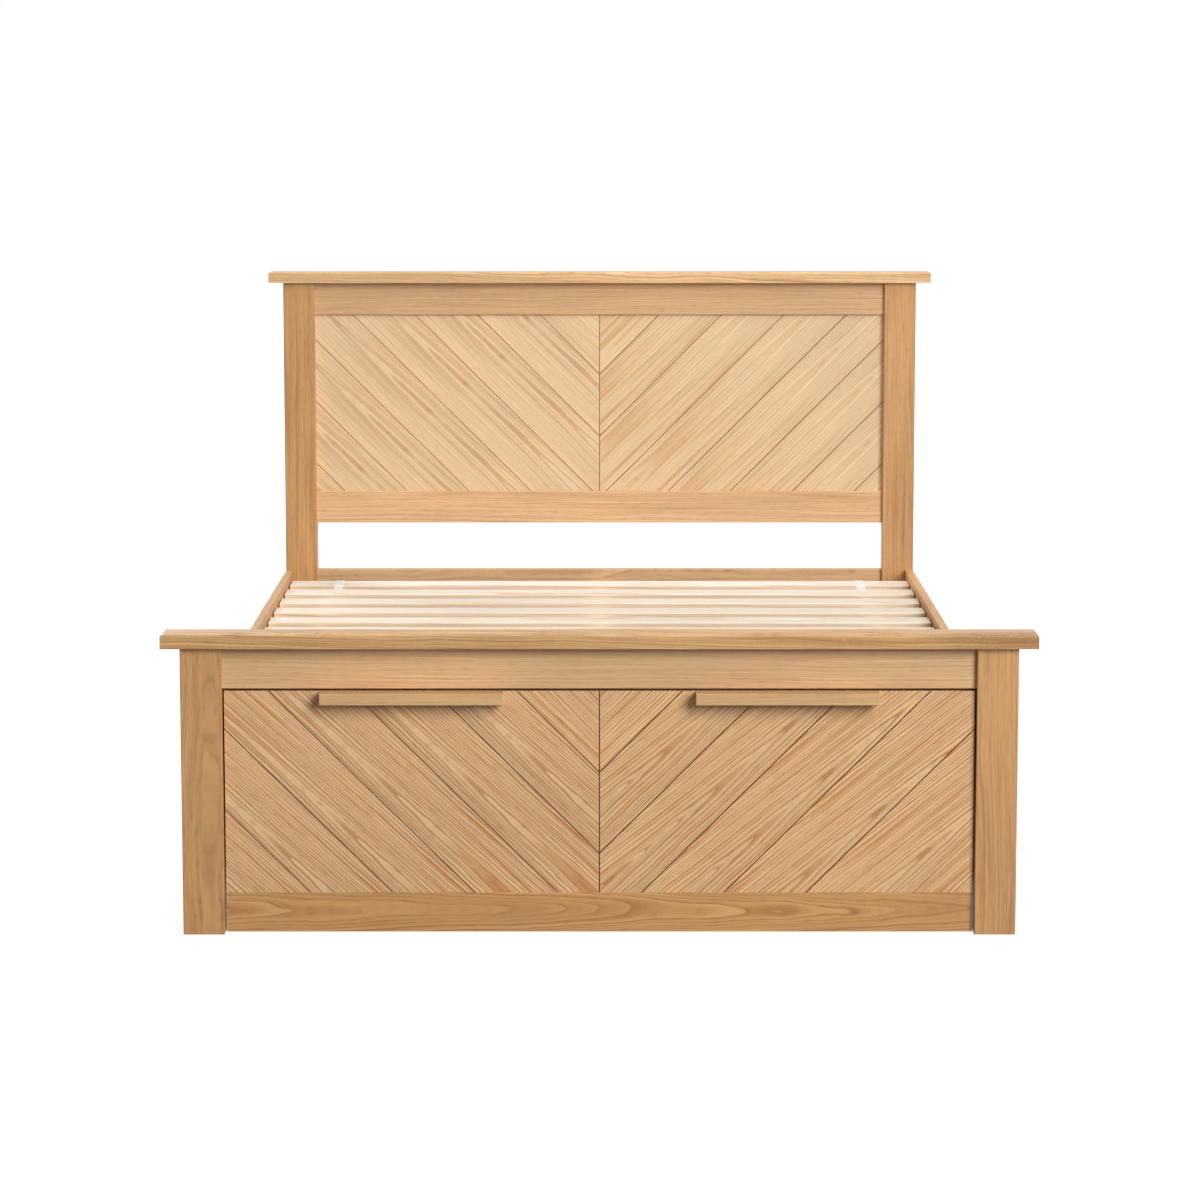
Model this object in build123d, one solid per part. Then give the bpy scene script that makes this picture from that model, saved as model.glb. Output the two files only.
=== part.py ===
from build123d import *
import math
import os

# Storage bed for a double mattress: oak head and foot ends, side rails with a slatted base,
# and one wide drawer on castors that pulls out at the foot end.
# Millimetres. X runs across the bed, Y from the foot to the head, Z up from the floor.
# The origin is on the floor, in the middle of everything.

# Mattress space
MATTRESS_W = 1350.0
MATTRESS_L = 1900.0
MATTRESS_GAP = 15.0

# Posts, caps and rails of both ends
HEAD_H = 1007.5
FOOT_H = 518.0
POST_W = 70.0
POST_D = 45.0
CAP_T = 24.0
CAP_OVER_END = 32.0
CAP_OVER_FACE = 10.0
CAP_R = 4.0
RAIL_T = 22.0
RAIL_SETBACK = 10.0
TOP_RAIL_H = 72.5
MID_RAIL_H = 72.0
LOW_RAIL_H = 120.0
FOOT_RAIL_H = 71.0
ARRIS = 1.5

# Joints of the rails
TENON_L = 20.0
TENON_T = 9.0
TENON_SHOULDER = 12.0
JOINT_FIT = 0.2
DOWEL_R = 4.0
DOWEL_IN_POST = 25.0
DOWEL_IN_CAP = 12.0
DOWEL_INSET = 17.0
DOWEL_PITCH = 24.0

# Chevron boards
PANEL_H = 398.0
PLANK_W = 99.0
PLANK_T = 6.0
PLANK_V = 1.2
PLANK_GAP = 0.2
PLANK_LEAST = 8.0
CORNER_JOINTS_OUT = 1
BACK_PANEL_T = 6.0
PANEL_TONGUE = 6.0
GROOVE_SPARE = 1.0
HEAD_MEET_DROP = 133.5

# Side rails and slatted base
SIDE_T = 18.0
SIDE_TOP = 335.0
SIDE_BOTTOM = 60.0
SLAT_COUNT = 15
SLAT_W = 70.0
SLAT_T = 18.0
SLAT_R = 3.0
SLAT_DROP = 15.0
SLAT_END_GAP = 3.0
SLAT_FOOT_GAP = 7.0
SLAT_HEAD_GAP = 67.0
LEDGER_T = 22.0
LEDGER_H = 30.0
LEDGER_END_GAP = 5.0
STRAP_X = 580.0
STRAP_W = 20.0
STRAP_T = 1.0
STRAP_TAIL = 10.0

# Centre rail, legs and hangers
CENTRE_RAIL_W = 45.0
CENTRE_RAIL_H = 54.0
LEG_W = 45.0
LEG_FROM_HEAD = 495.0
LEG_PITCH = 480.0
GLIDE_H = 20.0
GLIDE_R = 20.0
GLIDE_DISC_H = 8.0
GLIDE_STEM_R = 4.0
GLIDE_STEM_IN_LEG = 25.0
HANGER_T = 2.0
HANGER_SEAT = 40.0
HANGER_CHEEK_H = 42.0
HANGER_WING = 22.0
HANGER_FIT = 0.3

# Foot inner panel
INNER_PANEL_T = 18.0
INNER_PANEL_LAP = 12.0
INNER_PANEL_OVER_BOX = 16.0
BUFFER_T = 3.0
BUFFER_R = 6.0
BUFFER_XS = (180.0, 540.0)
BUFFER_UP = 16.0

# Corner brackets and fastenings
BRACKET_T = 3.0
BRACKET_LEG = 50.0
BRACKET_H = 120.0
BRACKET_UP = 40.0
BRACKET_R = 6.0
BRACKET_HOLE = 28.0
BRACKET_HOLE_END = 25.0
BOLT_R = 4.0
BOLT_L = 38.0
BOLT_HEAD_R = 8.0
BOLT_HEAD_H = 5.0
BOLT_SOCKET = 5.0
BOLT_SOCKET_DEEP = 3.0
SCREW_R = 2.2
SCREW_HEAD_R = 4.2
SCREW_HEAD_H = 2.4
SCREW_L = 15.0
LEDGER_SCREW_L = 34.0
LEDGER_SCREWS = 7
LEDGER_SCREW_END = 60.0
PANEL_SCREW_L = 28.0
PANEL_SCREWS = 3
PANEL_SCREW_END = 28.0
LEG_BOLT_R = 3.0
LEG_BOLT_L = 85.0
LEG_BOLT_HEAD_R = 6.0
LEG_BOLT_HEAD_H = 4.0
LEG_BOLT_SUNK = 6.0
HOLE_FIT = 0.1

# Drawer
DRAWER_GAP_SIDE = 3.0
DRAWER_GAP_TOP = 4.0
DRAWER_GAP_FLOOR = 3.0
DRAWER_RAIL_H = 68.0
BOX_L = 800.0
BOX_INSET = 15.0
BOX_WALL = 15.0
BOX_INNER_H = 148.0
BASE_T = 12.0
BASE_TONGUE = 7.0
BASE_LIP = 8.0
HANDLE_L = 310.0
HANDLE_H = 20.0
HANDLE_D = 28.0
HANDLE_R = 1.5
GRIP_W = 12.0
GRIP_H = 12.0
GRIP_END = 35.0
HANDLE_SCREW_IN = 16.0
HANDLE_SCREW_SUNK = 3.0

# Castors
CASTOR_H = 68.0
CASTOR_IN_X = 60.0
CASTOR_IN_Y = 60.0
WHEEL_R = 25.0
WHEEL_W = 18.0
WHEEL_EDGE_R = 3.0
WHEEL_BOSS_R = 9.0
WHEEL_BOSS_PROUD = 1.0
WHEEL_RIM = 6.0
WHEEL_DISH = 4.0
AXLE_R = 4.0
AXLE_FIT = 0.06
AXLE_HEAD_R = 6.0
AXLE_HEAD_T = 1.5
FORK_T = 2.5
FORK_R = 10.0
FORK_SIDE_GAP = 0.5
PLATE_X = 68.0
PLATE_Y = 50.0
PLATE_SCREW_X = 27.0
PLATE_SCREW_Y = 17.0
CASTOR_SCREW_L = 12.0

# Planes across the bed
HALF_INNER = MATTRESS_W / 2 + MATTRESS_GAP
HALF_BED = HALF_INNER + SIDE_T
POST_IN = HALF_BED - POST_W
CAP_HALF = HALF_BED + CAP_OVER_END

# Planes along the bed, counted from the front faces of the foot posts, then centred on the origin
FRAME_L = 2 * POST_D + MATTRESS_L + 2 * MATTRESS_GAP
FRONT_REACH = max(HANDLE_D - RAIL_SETBACK, CAP_OVER_FACE)
FOOT_FRONT = (FRONT_REACH - FRAME_L - CAP_OVER_FACE) / 2
FOOT_BACK = FOOT_FRONT + POST_D
HEAD_FRONT = FOOT_FRONT + FRAME_L - POST_D
HEAD_BACK = HEAD_FRONT + POST_D

# Levels of the head end
HEAD_POST_H = HEAD_H - CAP_T
PANEL_TOP = HEAD_POST_H - TOP_RAIL_H
PANEL_BOTTOM = PANEL_TOP - PANEL_H
MID_RAIL_BOTTOM = PANEL_BOTTOM - MID_RAIL_H
HEAD_RAIL_Y = HEAD_FRONT + RAIL_SETBACK
PANEL_T = PLANK_T + BACK_PANEL_T
PANEL_Y = HEAD_RAIL_Y + (RAIL_T - PANEL_T) / 2

# Levels of the foot end and the drawer
FOOT_POST_H = FOOT_H - CAP_T
FOOT_RAIL_BOTTOM = FOOT_POST_H - FOOT_RAIL_H
FACE_Y = FOOT_FRONT + RAIL_SETBACK
FRONT_BACK_Y = FACE_Y + RAIL_T
DRAWER_TOP = FOOT_RAIL_BOTTOM - DRAWER_GAP_TOP
DRAWER_RAIL_TOP = DRAWER_GAP_FLOOR + DRAWER_RAIL_H
DRAWER_HALF = POST_IN - DRAWER_GAP_SIDE
BOX_HALF = DRAWER_HALF - BOX_INSET
BOX_IN_HALF = BOX_HALF - BOX_WALL
BOX_BACK_Y = FRONT_BACK_Y + BOX_L
BASE_TOP = CASTOR_H + BASE_T
BOX_TOP = BASE_TOP + BOX_INNER_H
INNER_PANEL_BOTTOM = BOX_TOP + INNER_PANEL_OVER_BOX
INNER_PANEL_Y = FRONT_BACK_Y + BUFFER_T
INNER_PANEL_BACK_Y = INNER_PANEL_Y + INNER_PANEL_T
HANDLE_X = DRAWER_HALF / 2
HANDLE_BOTTOM = DRAWER_TOP - HANDLE_H

# Levels and places of the slatted base
SLAT_TOP = SIDE_TOP - SLAT_DROP
SLAT_UNDER = SLAT_TOP - SLAT_T
FIRST_SLAT_Y = INNER_PANEL_BACK_Y + SLAT_FOOT_GAP
LAST_SLAT_Y = HEAD_FRONT - SLAT_HEAD_GAP - SLAT_W
SLAT_PITCH = (LAST_SLAT_Y - FIRST_SLAT_Y) / (SLAT_COUNT - 1)
CENTRE_RAIL_BOTTOM = SLAT_UNDER - CENTRE_RAIL_H
LEG_YS = (HEAD_FRONT - LEG_FROM_HEAD - LEG_PITCH, HEAD_FRONT - LEG_FROM_HEAD)
BRACKET_BOTTOM = SIDE_BOTTOM + BRACKET_UP

TOWARDS_HEAD = Vector(0, 1, 0)
TOWARDS_FOOT = Vector(0, -1, 0)
RIGHT = Vector(1, 0, 0)
UP = Vector(0, 0, 1)
DOWN = Vector(0, 0, -1)

os.makedirs("parts", exist_ok=True)


def save(name, *solids):
    """Write one node, a single solid or a group of separate ones."""
    shape = solids[0] if len(solids) == 1 else Compound(children=list(solids))
    export_step(shape, f"parts/{name}.step")


def block(x0, x1, y0, y1, z0, z1):
    """A box between two corners, given in any order."""
    middle = Pos((x0 + x1) / 2, (y0 + y1) / 2, (z0 + z1) / 2)
    return middle * Box(abs(x1 - x0), abs(y1 - y0), abs(z1 - z0))


def eased(solid, along, radius=ARRIS):
    """Take the sharpness off the edges that run along one axis."""
    return fillet(solid.edges().filter_by(along), radius)


def rod(seat, way, radius, length):
    """A round bar from a point, in one direction."""
    bottom = (Align.CENTER, Align.CENTER, Align.MIN)
    return Plane(origin=seat, z_dir=way) * Cylinder(radius, length, align=bottom)


def mirrored(solid):
    """The left-hand copy of a right-hand piece."""
    return mirror(solid, about=Plane.YZ)


def both_sides(solids):
    """Right-hand solids and their left-hand copies."""
    return [*solids, *(mirrored(solid) for solid in solids)]


def screw(seat, way, length, radius=SCREW_R, head_r=SCREW_HEAD_R, head_h=SCREW_HEAD_H):
    """A screw whose head sits on the seat and whose shank runs along way."""
    return rod(seat, way, radius, length) + rod(seat, way * -1, head_r, head_h)


def screw_hole(seat, way, length, radius=SCREW_R):
    """The hole that a screw's shank fills."""
    return rod(seat, way, radius + HOLE_FIT, length + HOLE_FIT)


def without(solid, tools):
    """A solid with a list of tools cut out of it."""
    for tool in tools:
        solid = solid - tool
    return solid


# Rails, tenons and mortises


def rail(y, z0, z1):
    """A rail between two posts, with a stub tenon at each end."""
    bar = eased(block(-POST_IN, POST_IN, y, y + RAIL_T, z0, z1), Axis.X)
    reach = POST_IN + TENON_L
    tenon_y = y + (RAIL_T - TENON_T) / 2
    tenon = block(-reach, reach, tenon_y, tenon_y + TENON_T, z0 + TENON_SHOULDER, z1 - TENON_SHOULDER)
    return bar + tenon


def mortise(y, z0, z1):
    """The pocket for a rail's tenon in the right-hand post."""
    y0 = y + (RAIL_T - TENON_T) / 2 - JOINT_FIT
    y1 = y0 + TENON_T + 2 * JOINT_FIT
    x1 = POST_IN + TENON_L + JOINT_FIT
    return block(POST_IN, x1, y0, y1, z0 + TENON_SHOULDER - JOINT_FIT, z1 - TENON_SHOULDER + JOINT_FIT)


def dowel_seats(front, top):
    """Where the dowels of the right-hand post start, at the top of the post."""
    x = HALF_BED - DOWEL_INSET
    return [Vector(x - step, front + POST_D / 2, top) for step in (0, DOWEL_PITCH)]


def dowels(front, top):
    """The dowels of one right-hand post."""
    length = DOWEL_IN_POST + DOWEL_IN_CAP
    return [rod(seat + DOWN * DOWEL_IN_POST, UP, DOWEL_R, length) for seat in dowel_seats(front, top)]


def dowel_holes_in_post(front, top):
    return [rod(s, DOWN, DOWEL_R + HOLE_FIT, DOWEL_IN_POST + GROOVE_SPARE) for s in dowel_seats(front, top)]


def dowel_holes_in_cap(front, top):
    holes = [rod(s, UP, DOWEL_R + HOLE_FIT, DOWEL_IN_CAP + GROOVE_SPARE) for s in dowel_seats(front, top)]
    return both_sides(holes)


def cap(front, height):
    """An overhanging top board with its upper edges rounded over."""
    y0 = front - CAP_OVER_FACE
    y1 = front + POST_D + CAP_OVER_FACE
    board = block(-CAP_HALF, CAP_HALF, y0, y1, height - CAP_T, height)
    board = fillet(board.faces().sort_by(Axis.Z)[-1].edges(), CAP_R)
    return without(board, dowel_holes_in_cap(front, height - CAP_T))


def post(front, height):
    """A plain right-hand post with its dowel holes."""
    bar = eased(block(POST_IN, HALF_BED, front, front + POST_D, 0, height), Axis.Z)
    return without(bar, dowel_holes_in_post(front, height))


# Corner brackets


def bracket_levels(count):
    """Heights of the holes in a bracket, spread between its two ends."""
    low = BRACKET_BOTTOM + BRACKET_HOLE_END
    high = BRACKET_BOTTOM + BRACKET_H - BRACKET_HOLE_END
    return [low + (high - low) * step / (count - 1) for step in range(count)]


def bracket_bolt_seats(wall_y, way):
    """Bolt seats on the leg that lies against a post, way pointing off the post."""
    x = HALF_INNER - BRACKET_HOLE
    return [Vector(x, wall_y + way * BRACKET_T, z) for z in bracket_levels(2)]


def bracket_screw_seats(wall_y, way):
    """Screw seats on the leg that lies against the side rail."""
    y = wall_y + way * BRACKET_HOLE
    return [Vector(HALF_INNER - BRACKET_T, y, z) for z in bracket_levels(3)]


def bracket(wall_y, way):
    """One right-hand angle plate between a post and a side rail."""
    top = BRACKET_BOTTOM + BRACKET_H
    long_y = wall_y + way * BRACKET_LEG
    thin_y = wall_y + way * BRACKET_T
    on_side = block(HALF_INNER - BRACKET_T, HALF_INNER, wall_y, long_y, BRACKET_BOTTOM, top)
    on_post = block(HALF_INNER - BRACKET_LEG, HALF_INNER, wall_y, thin_y, BRACKET_BOTTOM, top)
    on_side = fillet(on_side.edges().filter_by(Axis.X).sort_by(Axis.Y)[:: way][-2:], BRACKET_R)
    on_post = fillet(on_post.edges().filter_by(Axis.Y).sort_by(Axis.X)[:2], BRACKET_R)
    into_post = TOWARDS_HEAD * -way
    holes = [screw_hole(s, into_post, BRACKET_T, BOLT_R) for s in bracket_bolt_seats(wall_y, way)]
    holes += [screw_hole(s, RIGHT, BRACKET_T) for s in bracket_screw_seats(wall_y, way)]
    return without(on_side + on_post, holes)


def bolt(seat, way):
    """A pan-head bolt with a hexagon socket."""
    body = screw(seat, way, BOLT_L, BOLT_R, BOLT_HEAD_R, BOLT_HEAD_H)
    mouth = Plane(origin=seat - way * BOLT_HEAD_H, z_dir=way)
    socket = extrude(mouth * RegularPolygon(BOLT_SOCKET / 2, 6, major_radius=False), BOLT_SOCKET_DEEP)
    return body - socket


BRACKET_WALLS = ((FOOT_BACK, 1), (HEAD_FRONT, -1))


def bolt_holes(wall_y, way):
    """Holes in a right-hand post for its bracket's bolts."""
    into_post = TOWARDS_HEAD * -way
    return [screw_hole(seat, into_post, BOLT_L, BOLT_R) for seat in bracket_bolt_seats(wall_y, way)]


# Chevron boards


def chevron_half(half, z0, z1, meet, back_y, joints_out=0):
    """Right-hand planks at 45 degrees inside a rectangle, with V joints between them.

    One joint meets the centre line at the height meet. The lowest joints, as many as joints_out, are
    left out, so the corner plank is that much wider.
    """
    step = PLANK_W * math.sqrt(2)
    low = z0 - half
    first = math.ceil((low + PLANK_LEAST - meet) / step)
    last = math.floor((z1 - PLANK_LEAST - meet) / step)
    joints = [meet + step * k for k in range(first + joints_out, last + 1)]
    limits = [low - step, *joints, z1 + step]
    area = block(PLANK_GAP / 2, half, back_y - PLANK_T, back_y, z0, z1)
    mitre = Pos(0, back_y - PLANK_T, (z0 + z1) / 2) * Rot(0, 0, 45)
    mitre = mitre * Box(PLANK_V * math.sqrt(2), PLANK_V * math.sqrt(2), z1 - z0)
    return [plank(a, b, half, back_y) & area - mitre for a, b in zip(limits, limits[1:])]


def plank(low, high, half, back_y):
    """One long plank between two lines at 45 degrees, at the heights low and high on the centre line."""
    across = Plane(origin=(0, back_y, low), x_dir=(-1, 0, 1), z_dir=(1, 0, 1))
    a = PLANK_GAP / 2
    b = (high - low) / math.sqrt(2) - a
    front = PLANK_T - PLANK_V
    outline = Polyline(
        (a, 0), (b, 0), (b, front), (b - PLANK_V, PLANK_T), (a + PLANK_V, PLANK_T), (a, front), close=True
    )
    return extrude(across * make_face(outline), 4 * half, both=True)


def chevron(half, z0, z1, meet, back_y, joints_out=0):
    """Planks of both halves; joints_out is the number of joints that the right half's lower corner lacks."""
    right = chevron_half(half, z0, z1, meet, back_y, joints_out)
    return right + [mirrored(solid) for solid in chevron_half(half, z0, z1, meet, back_y)]


# Head end


def head_end():
    tongue_half = POST_IN + PANEL_TONGUE
    z0 = PANEL_BOTTOM - PANEL_TONGUE
    z1 = PANEL_TOP + PANEL_TONGUE
    groove_half = tongue_half + GROOVE_SPARE
    groove = block(
        -groove_half, groove_half, PANEL_Y - JOINT_FIT, PANEL_Y + PANEL_T + JOINT_FIT,
        z0 - GROOVE_SPARE, z1 + GROOVE_SPARE,
    )
    rails = {
        "head_top_rail": (PANEL_TOP, HEAD_POST_H),
        "head_mid_rail": (MID_RAIL_BOTTOM, PANEL_BOTTOM),
        "head_low_rail": (SIDE_TOP - LOW_RAIL_H, SIDE_TOP),
    }
    right = post(HEAD_FRONT, HEAD_POST_H) - groove
    right = without(right, [mortise(HEAD_RAIL_Y, *levels) for levels in rails.values()])
    right = without(right, bolt_holes(HEAD_FRONT, -1))
    save("head_post_right", right)
    save("head_post_left", mirrored(right))
    for name, levels in rails.items():
        bar = rail(HEAD_RAIL_Y, *levels)
        if name == "head_low_rail":
            save(name, without(bar, hanger_screw_holes(HEAD_RAIL_Y, -1)))
        else:
            save(name, bar - groove)
    save("head_cap", cap(HEAD_FRONT, HEAD_H))
    back_y = PANEL_Y + PLANK_T
    save("head_chevron", *chevron(tongue_half, z0, z1, PANEL_TOP - HEAD_MEET_DROP, back_y))
    save("head_back_panel", block(-tongue_half, tongue_half, back_y, PANEL_Y + PANEL_T, z0, z1))


# Foot end


def panel_screw_seats():
    """Screw seats on the back of the inner panel, over the right-hand post."""
    x = POST_IN + INNER_PANEL_LAP / 2
    low = INNER_PANEL_BOTTOM + PANEL_SCREW_END
    pitch = (FOOT_RAIL_BOTTOM - PANEL_SCREW_END - low) / (PANEL_SCREWS - 1)
    return [Vector(x, INNER_PANEL_BACK_Y, low + pitch * k) for k in range(PANEL_SCREWS)]


def foot_end():
    lap_x = POST_IN + INNER_PANEL_LAP
    lap_z = INNER_PANEL_BOTTOM - JOINT_FIT
    rebate = block(POST_IN, lap_x + JOINT_FIT, INNER_PANEL_Y, FOOT_BACK, lap_z, FOOT_POST_H)
    screws_in = [screw_hole(seat, TOWARDS_FOOT, PANEL_SCREW_L) for seat in panel_screw_seats()]
    right = post(FOOT_FRONT, FOOT_POST_H) - rebate - mortise(FACE_Y, FOOT_RAIL_BOTTOM, FOOT_POST_H)
    right = without(right, screws_in + bolt_holes(FOOT_BACK, 1))
    save("foot_post_right", right)
    save("foot_post_left", mirrored(right))
    save("foot_rail", rail(FACE_Y, FOOT_RAIL_BOTTOM, FOOT_POST_H))
    save("foot_cap", cap(FOOT_FRONT, FOOT_H))
    panel = block(-lap_x, lap_x, INNER_PANEL_Y, INNER_PANEL_BACK_Y, INNER_PANEL_BOTTOM, FOOT_POST_H)
    panel = without(panel, both_sides(screws_in) + hanger_screw_holes(INNER_PANEL_BACK_Y, 1))
    save("foot_inner_panel", panel)
    z = INNER_PANEL_BOTTOM + BUFFER_UP
    buffers = [rod(Vector(x, FRONT_BACK_Y, z), TOWARDS_HEAD, BUFFER_R, BUFFER_T) for x in BUFFER_XS]
    save("drawer_buffers", *both_sides(buffers))


# Side rails, ledgers and slats


def ledger_screw_seats():
    y0 = FOOT_BACK + LEDGER_SCREW_END
    gap = (HEAD_FRONT - LEDGER_SCREW_END - y0) / (LEDGER_SCREWS - 1)
    z = SLAT_UNDER - LEDGER_H / 2
    return [Vector(HALF_INNER - LEDGER_T, y0 + gap * k, z) for k in range(LEDGER_SCREWS)]


def side_rails():
    holes = [screw_hole(seat, RIGHT, LEDGER_SCREW_L) for seat in ledger_screw_seats()]
    ledger_y0 = FOOT_BACK + LEDGER_END_GAP
    ledger_y1 = HEAD_FRONT - LEDGER_END_GAP
    ledger_z = SLAT_UNDER - LEDGER_H
    ledger = block(HALF_INNER - LEDGER_T, HALF_INNER, ledger_y0, ledger_y1, ledger_z, SLAT_UNDER)
    ledger = without(eased(ledger, Axis.Y), holes)
    save("slat_ledger_right", ledger)
    save("slat_ledger_left", mirrored(ledger))
    for wall_y, way in BRACKET_WALLS:
        holes += [screw_hole(seat, RIGHT, SCREW_L) for seat in bracket_screw_seats(wall_y, way)]
    side = eased(block(HALF_INNER, HALF_BED, FOOT_BACK, HEAD_FRONT, SIDE_BOTTOM, SIDE_TOP), Axis.Y)
    side = without(side, holes)
    save("side_rail_right", side)
    save("side_rail_left", mirrored(side))


def slats():
    half = HALF_INNER - SLAT_END_GAP
    for number in range(SLAT_COUNT):
        y = FIRST_SLAT_Y + SLAT_PITCH * number
        slat = eased(block(-half, half, y, y + SLAT_W, SLAT_UNDER, SLAT_TOP), Axis.X, SLAT_R)
        save(f"slat_{number + 1:02d}", slat)


def strap():
    """Webbing under all the slats, folded round the first and the last one."""
    x0 = STRAP_X - STRAP_W / 2
    x1 = STRAP_X + STRAP_W / 2
    z0 = SLAT_UNDER - STRAP_T
    z1 = SLAT_TOP + STRAP_T
    band = block(x0, x1, FIRST_SLAT_Y - STRAP_T, LAST_SLAT_Y + SLAT_W + STRAP_T, z0, SLAT_UNDER)
    folds = ((FIRST_SLAT_Y, FIRST_SLAT_Y + SLAT_W, -1), (LAST_SLAT_Y + SLAT_W, LAST_SLAT_Y, 1))
    for outer, inner, way in folds:
        band += block(x0, x1, outer, outer + way * STRAP_T, z0, z1)
        band += block(x0, x1, outer + way * STRAP_T, inner - way * STRAP_T, SLAT_TOP, z1)
        band += block(x0, x1, inner - way * STRAP_T, inner, SLAT_TOP - STRAP_TAIL, z1)
    return band


# Centre rail


def hanger_screw_seats(wall_y, way):
    """Four screw seats on the back plate of a hanger."""
    x = CENTRE_RAIL_W / 2 + HANGER_FIT + HANGER_T + HANGER_WING / 2
    levels = [CENTRE_RAIL_BOTTOM + HANGER_CHEEK_H * share for share in (0.25, 0.85)]
    return [Vector(x, wall_y + way * HANGER_T, z) for z in levels]


def hanger_screw_holes(wall_y, way):
    holes = [screw_hole(s, TOWARDS_HEAD * -way, SCREW_L) for s in hanger_screw_seats(wall_y, way)]
    return both_sides(holes)


def hanger(wall_y, way):
    """A folded steel shoe that carries one end of the centre rail."""
    inner = CENTRE_RAIL_W / 2 + HANGER_FIT
    outer = inner + HANGER_T
    face_y = wall_y + way * HANGER_T
    end_y = face_y + way * HANGER_SEAT
    z0 = CENTRE_RAIL_BOTTOM - HANGER_T
    z1 = CENTRE_RAIL_BOTTOM + HANGER_CHEEK_H
    shoe = block(-outer - HANGER_WING, outer + HANGER_WING, wall_y, face_y, z0, z1)
    shoe += block(-outer, outer, face_y, end_y, z0, CENTRE_RAIL_BOTTOM)
    for cheek in both_sides([block(inner, outer, face_y, end_y, CENTRE_RAIL_BOTTOM, z1)]):
        shoe += cheek
    return without(shoe, hanger_screw_holes(wall_y, way))


HANGER_WALLS = ((INNER_PANEL_BACK_Y, 1), (HEAD_RAIL_Y, -1))


def leg_bolt_seats():
    return [Vector(0, y, SLAT_UNDER - LEG_BOLT_SUNK) for y in LEG_YS]


def leg_bolt_holes():
    sunk = [rod(s, UP, LEG_BOLT_HEAD_R + HOLE_FIT, LEG_BOLT_SUNK) for s in leg_bolt_seats()]
    return sunk + [screw_hole(s, DOWN, LEG_BOLT_L, LEG_BOLT_R) for s in leg_bolt_seats()]


def centre_support():
    half = CENTRE_RAIL_W / 2
    y0 = INNER_PANEL_BACK_Y + HANGER_T
    y1 = HEAD_RAIL_Y - HANGER_T
    beam = eased(block(-half, half, y0, y1, CENTRE_RAIL_BOTTOM, SLAT_UNDER), Axis.Y)
    save("centre_rail", without(beam, leg_bolt_holes()))
    save("centre_rail_hangers", *[hanger(wall_y, way) for wall_y, way in HANGER_WALLS])
    stem_top = GLIDE_H + GLIDE_STEM_IN_LEG
    legs = []
    glides = []
    for y in LEG_YS:
        leg = block(-LEG_W / 2, LEG_W / 2, y - LEG_W / 2, y + LEG_W / 2, GLIDE_H, CENTRE_RAIL_BOTTOM)
        floor = Vector(0, y, 0)
        stem = rod(floor, UP, GLIDE_STEM_R, stem_top)
        stem_hole = rod(floor, UP, GLIDE_STEM_R + HOLE_FIT, stem_top)
        legs.append(without(eased(leg, Axis.Z), [*leg_bolt_holes(), stem_hole]))
        disc = rod(floor, UP, GLIDE_R, GLIDE_DISC_H)
        glides.append(fillet(disc.edges().sort_by(Axis.Z)[-1:], ARRIS) + stem)
    save("centre_legs", *legs)
    save("leg_glides", *glides)


# Fastenings of the frame


def fastenings():
    brackets = []
    bolts = []
    screws = [screw(seat, RIGHT, LEDGER_SCREW_L) for seat in ledger_screw_seats()]
    screws += [screw(seat, TOWARDS_FOOT, PANEL_SCREW_L) for seat in panel_screw_seats()]
    for wall_y, way in BRACKET_WALLS:
        brackets.append(bracket(wall_y, way))
        bolts += [bolt(seat, TOWARDS_HEAD * -way) for seat in bracket_bolt_seats(wall_y, way)]
        screws += [screw(seat, RIGHT, SCREW_L) for seat in bracket_screw_seats(wall_y, way)]
    for wall_y, way in HANGER_WALLS:
        screws += [screw(seat, TOWARDS_HEAD * -way, SCREW_L) for seat in hanger_screw_seats(wall_y, way)]
    leg_bolts = [
        screw(seat, DOWN, LEG_BOLT_L, LEG_BOLT_R, LEG_BOLT_HEAD_R, LEG_BOLT_HEAD_H)
        for seat in leg_bolt_seats()
    ]
    pegs = dowels(HEAD_FRONT, HEAD_POST_H) + dowels(FOOT_FRONT, FOOT_POST_H)
    save("corner_brackets", *both_sides(brackets))
    save("corner_bolts", *both_sides(bolts))
    save("frame_screws", *both_sides(screws), *leg_bolts)
    save("cap_dowels", *both_sides(pegs))


# Drawer front and handles


def handle_screw_seats(centre):
    """Screw seats sunk into the back of the drawer front, behind the solid ends of a handle."""
    reach = (HANDLE_L - GRIP_END) / 2
    y = FRONT_BACK_Y - HANDLE_SCREW_SUNK
    return [Vector(centre + way * reach, y, HANDLE_BOTTOM + HANDLE_H / 2) for way in (-1, 1)]


def handle_screw_holes():
    length = RAIL_T - HANDLE_SCREW_SUNK + HANDLE_SCREW_IN
    seats = handle_screw_seats(HANDLE_X)
    sunk = [rod(s, TOWARDS_HEAD, SCREW_HEAD_R + HOLE_FIT, HANDLE_SCREW_SUNK) for s in seats]
    return sunk + [screw_hole(s, TOWARDS_FOOT, length) for s in seats]


def handle():
    """The right-hand bar handle, with a finger groove from below."""
    x0 = HANDLE_X - HANDLE_L / 2
    x1 = HANDLE_X + HANDLE_L / 2
    y0 = FACE_Y - HANDLE_D
    bar = block(x0, x1, y0, FACE_Y, HANDLE_BOTTOM, DRAWER_TOP)
    bar = fillet(bar.faces().sort_by(Axis.Y)[0].edges(), HANDLE_R)
    grip_y = y0 + (HANDLE_D - GRIP_W) / 2
    grip_top = HANDLE_BOTTOM + GRIP_H
    grip = block(x0 + GRIP_END, x1 - GRIP_END, grip_y, grip_y + GRIP_W, HANDLE_BOTTOM, grip_top)
    return without(bar - grip, handle_screw_holes())


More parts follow.
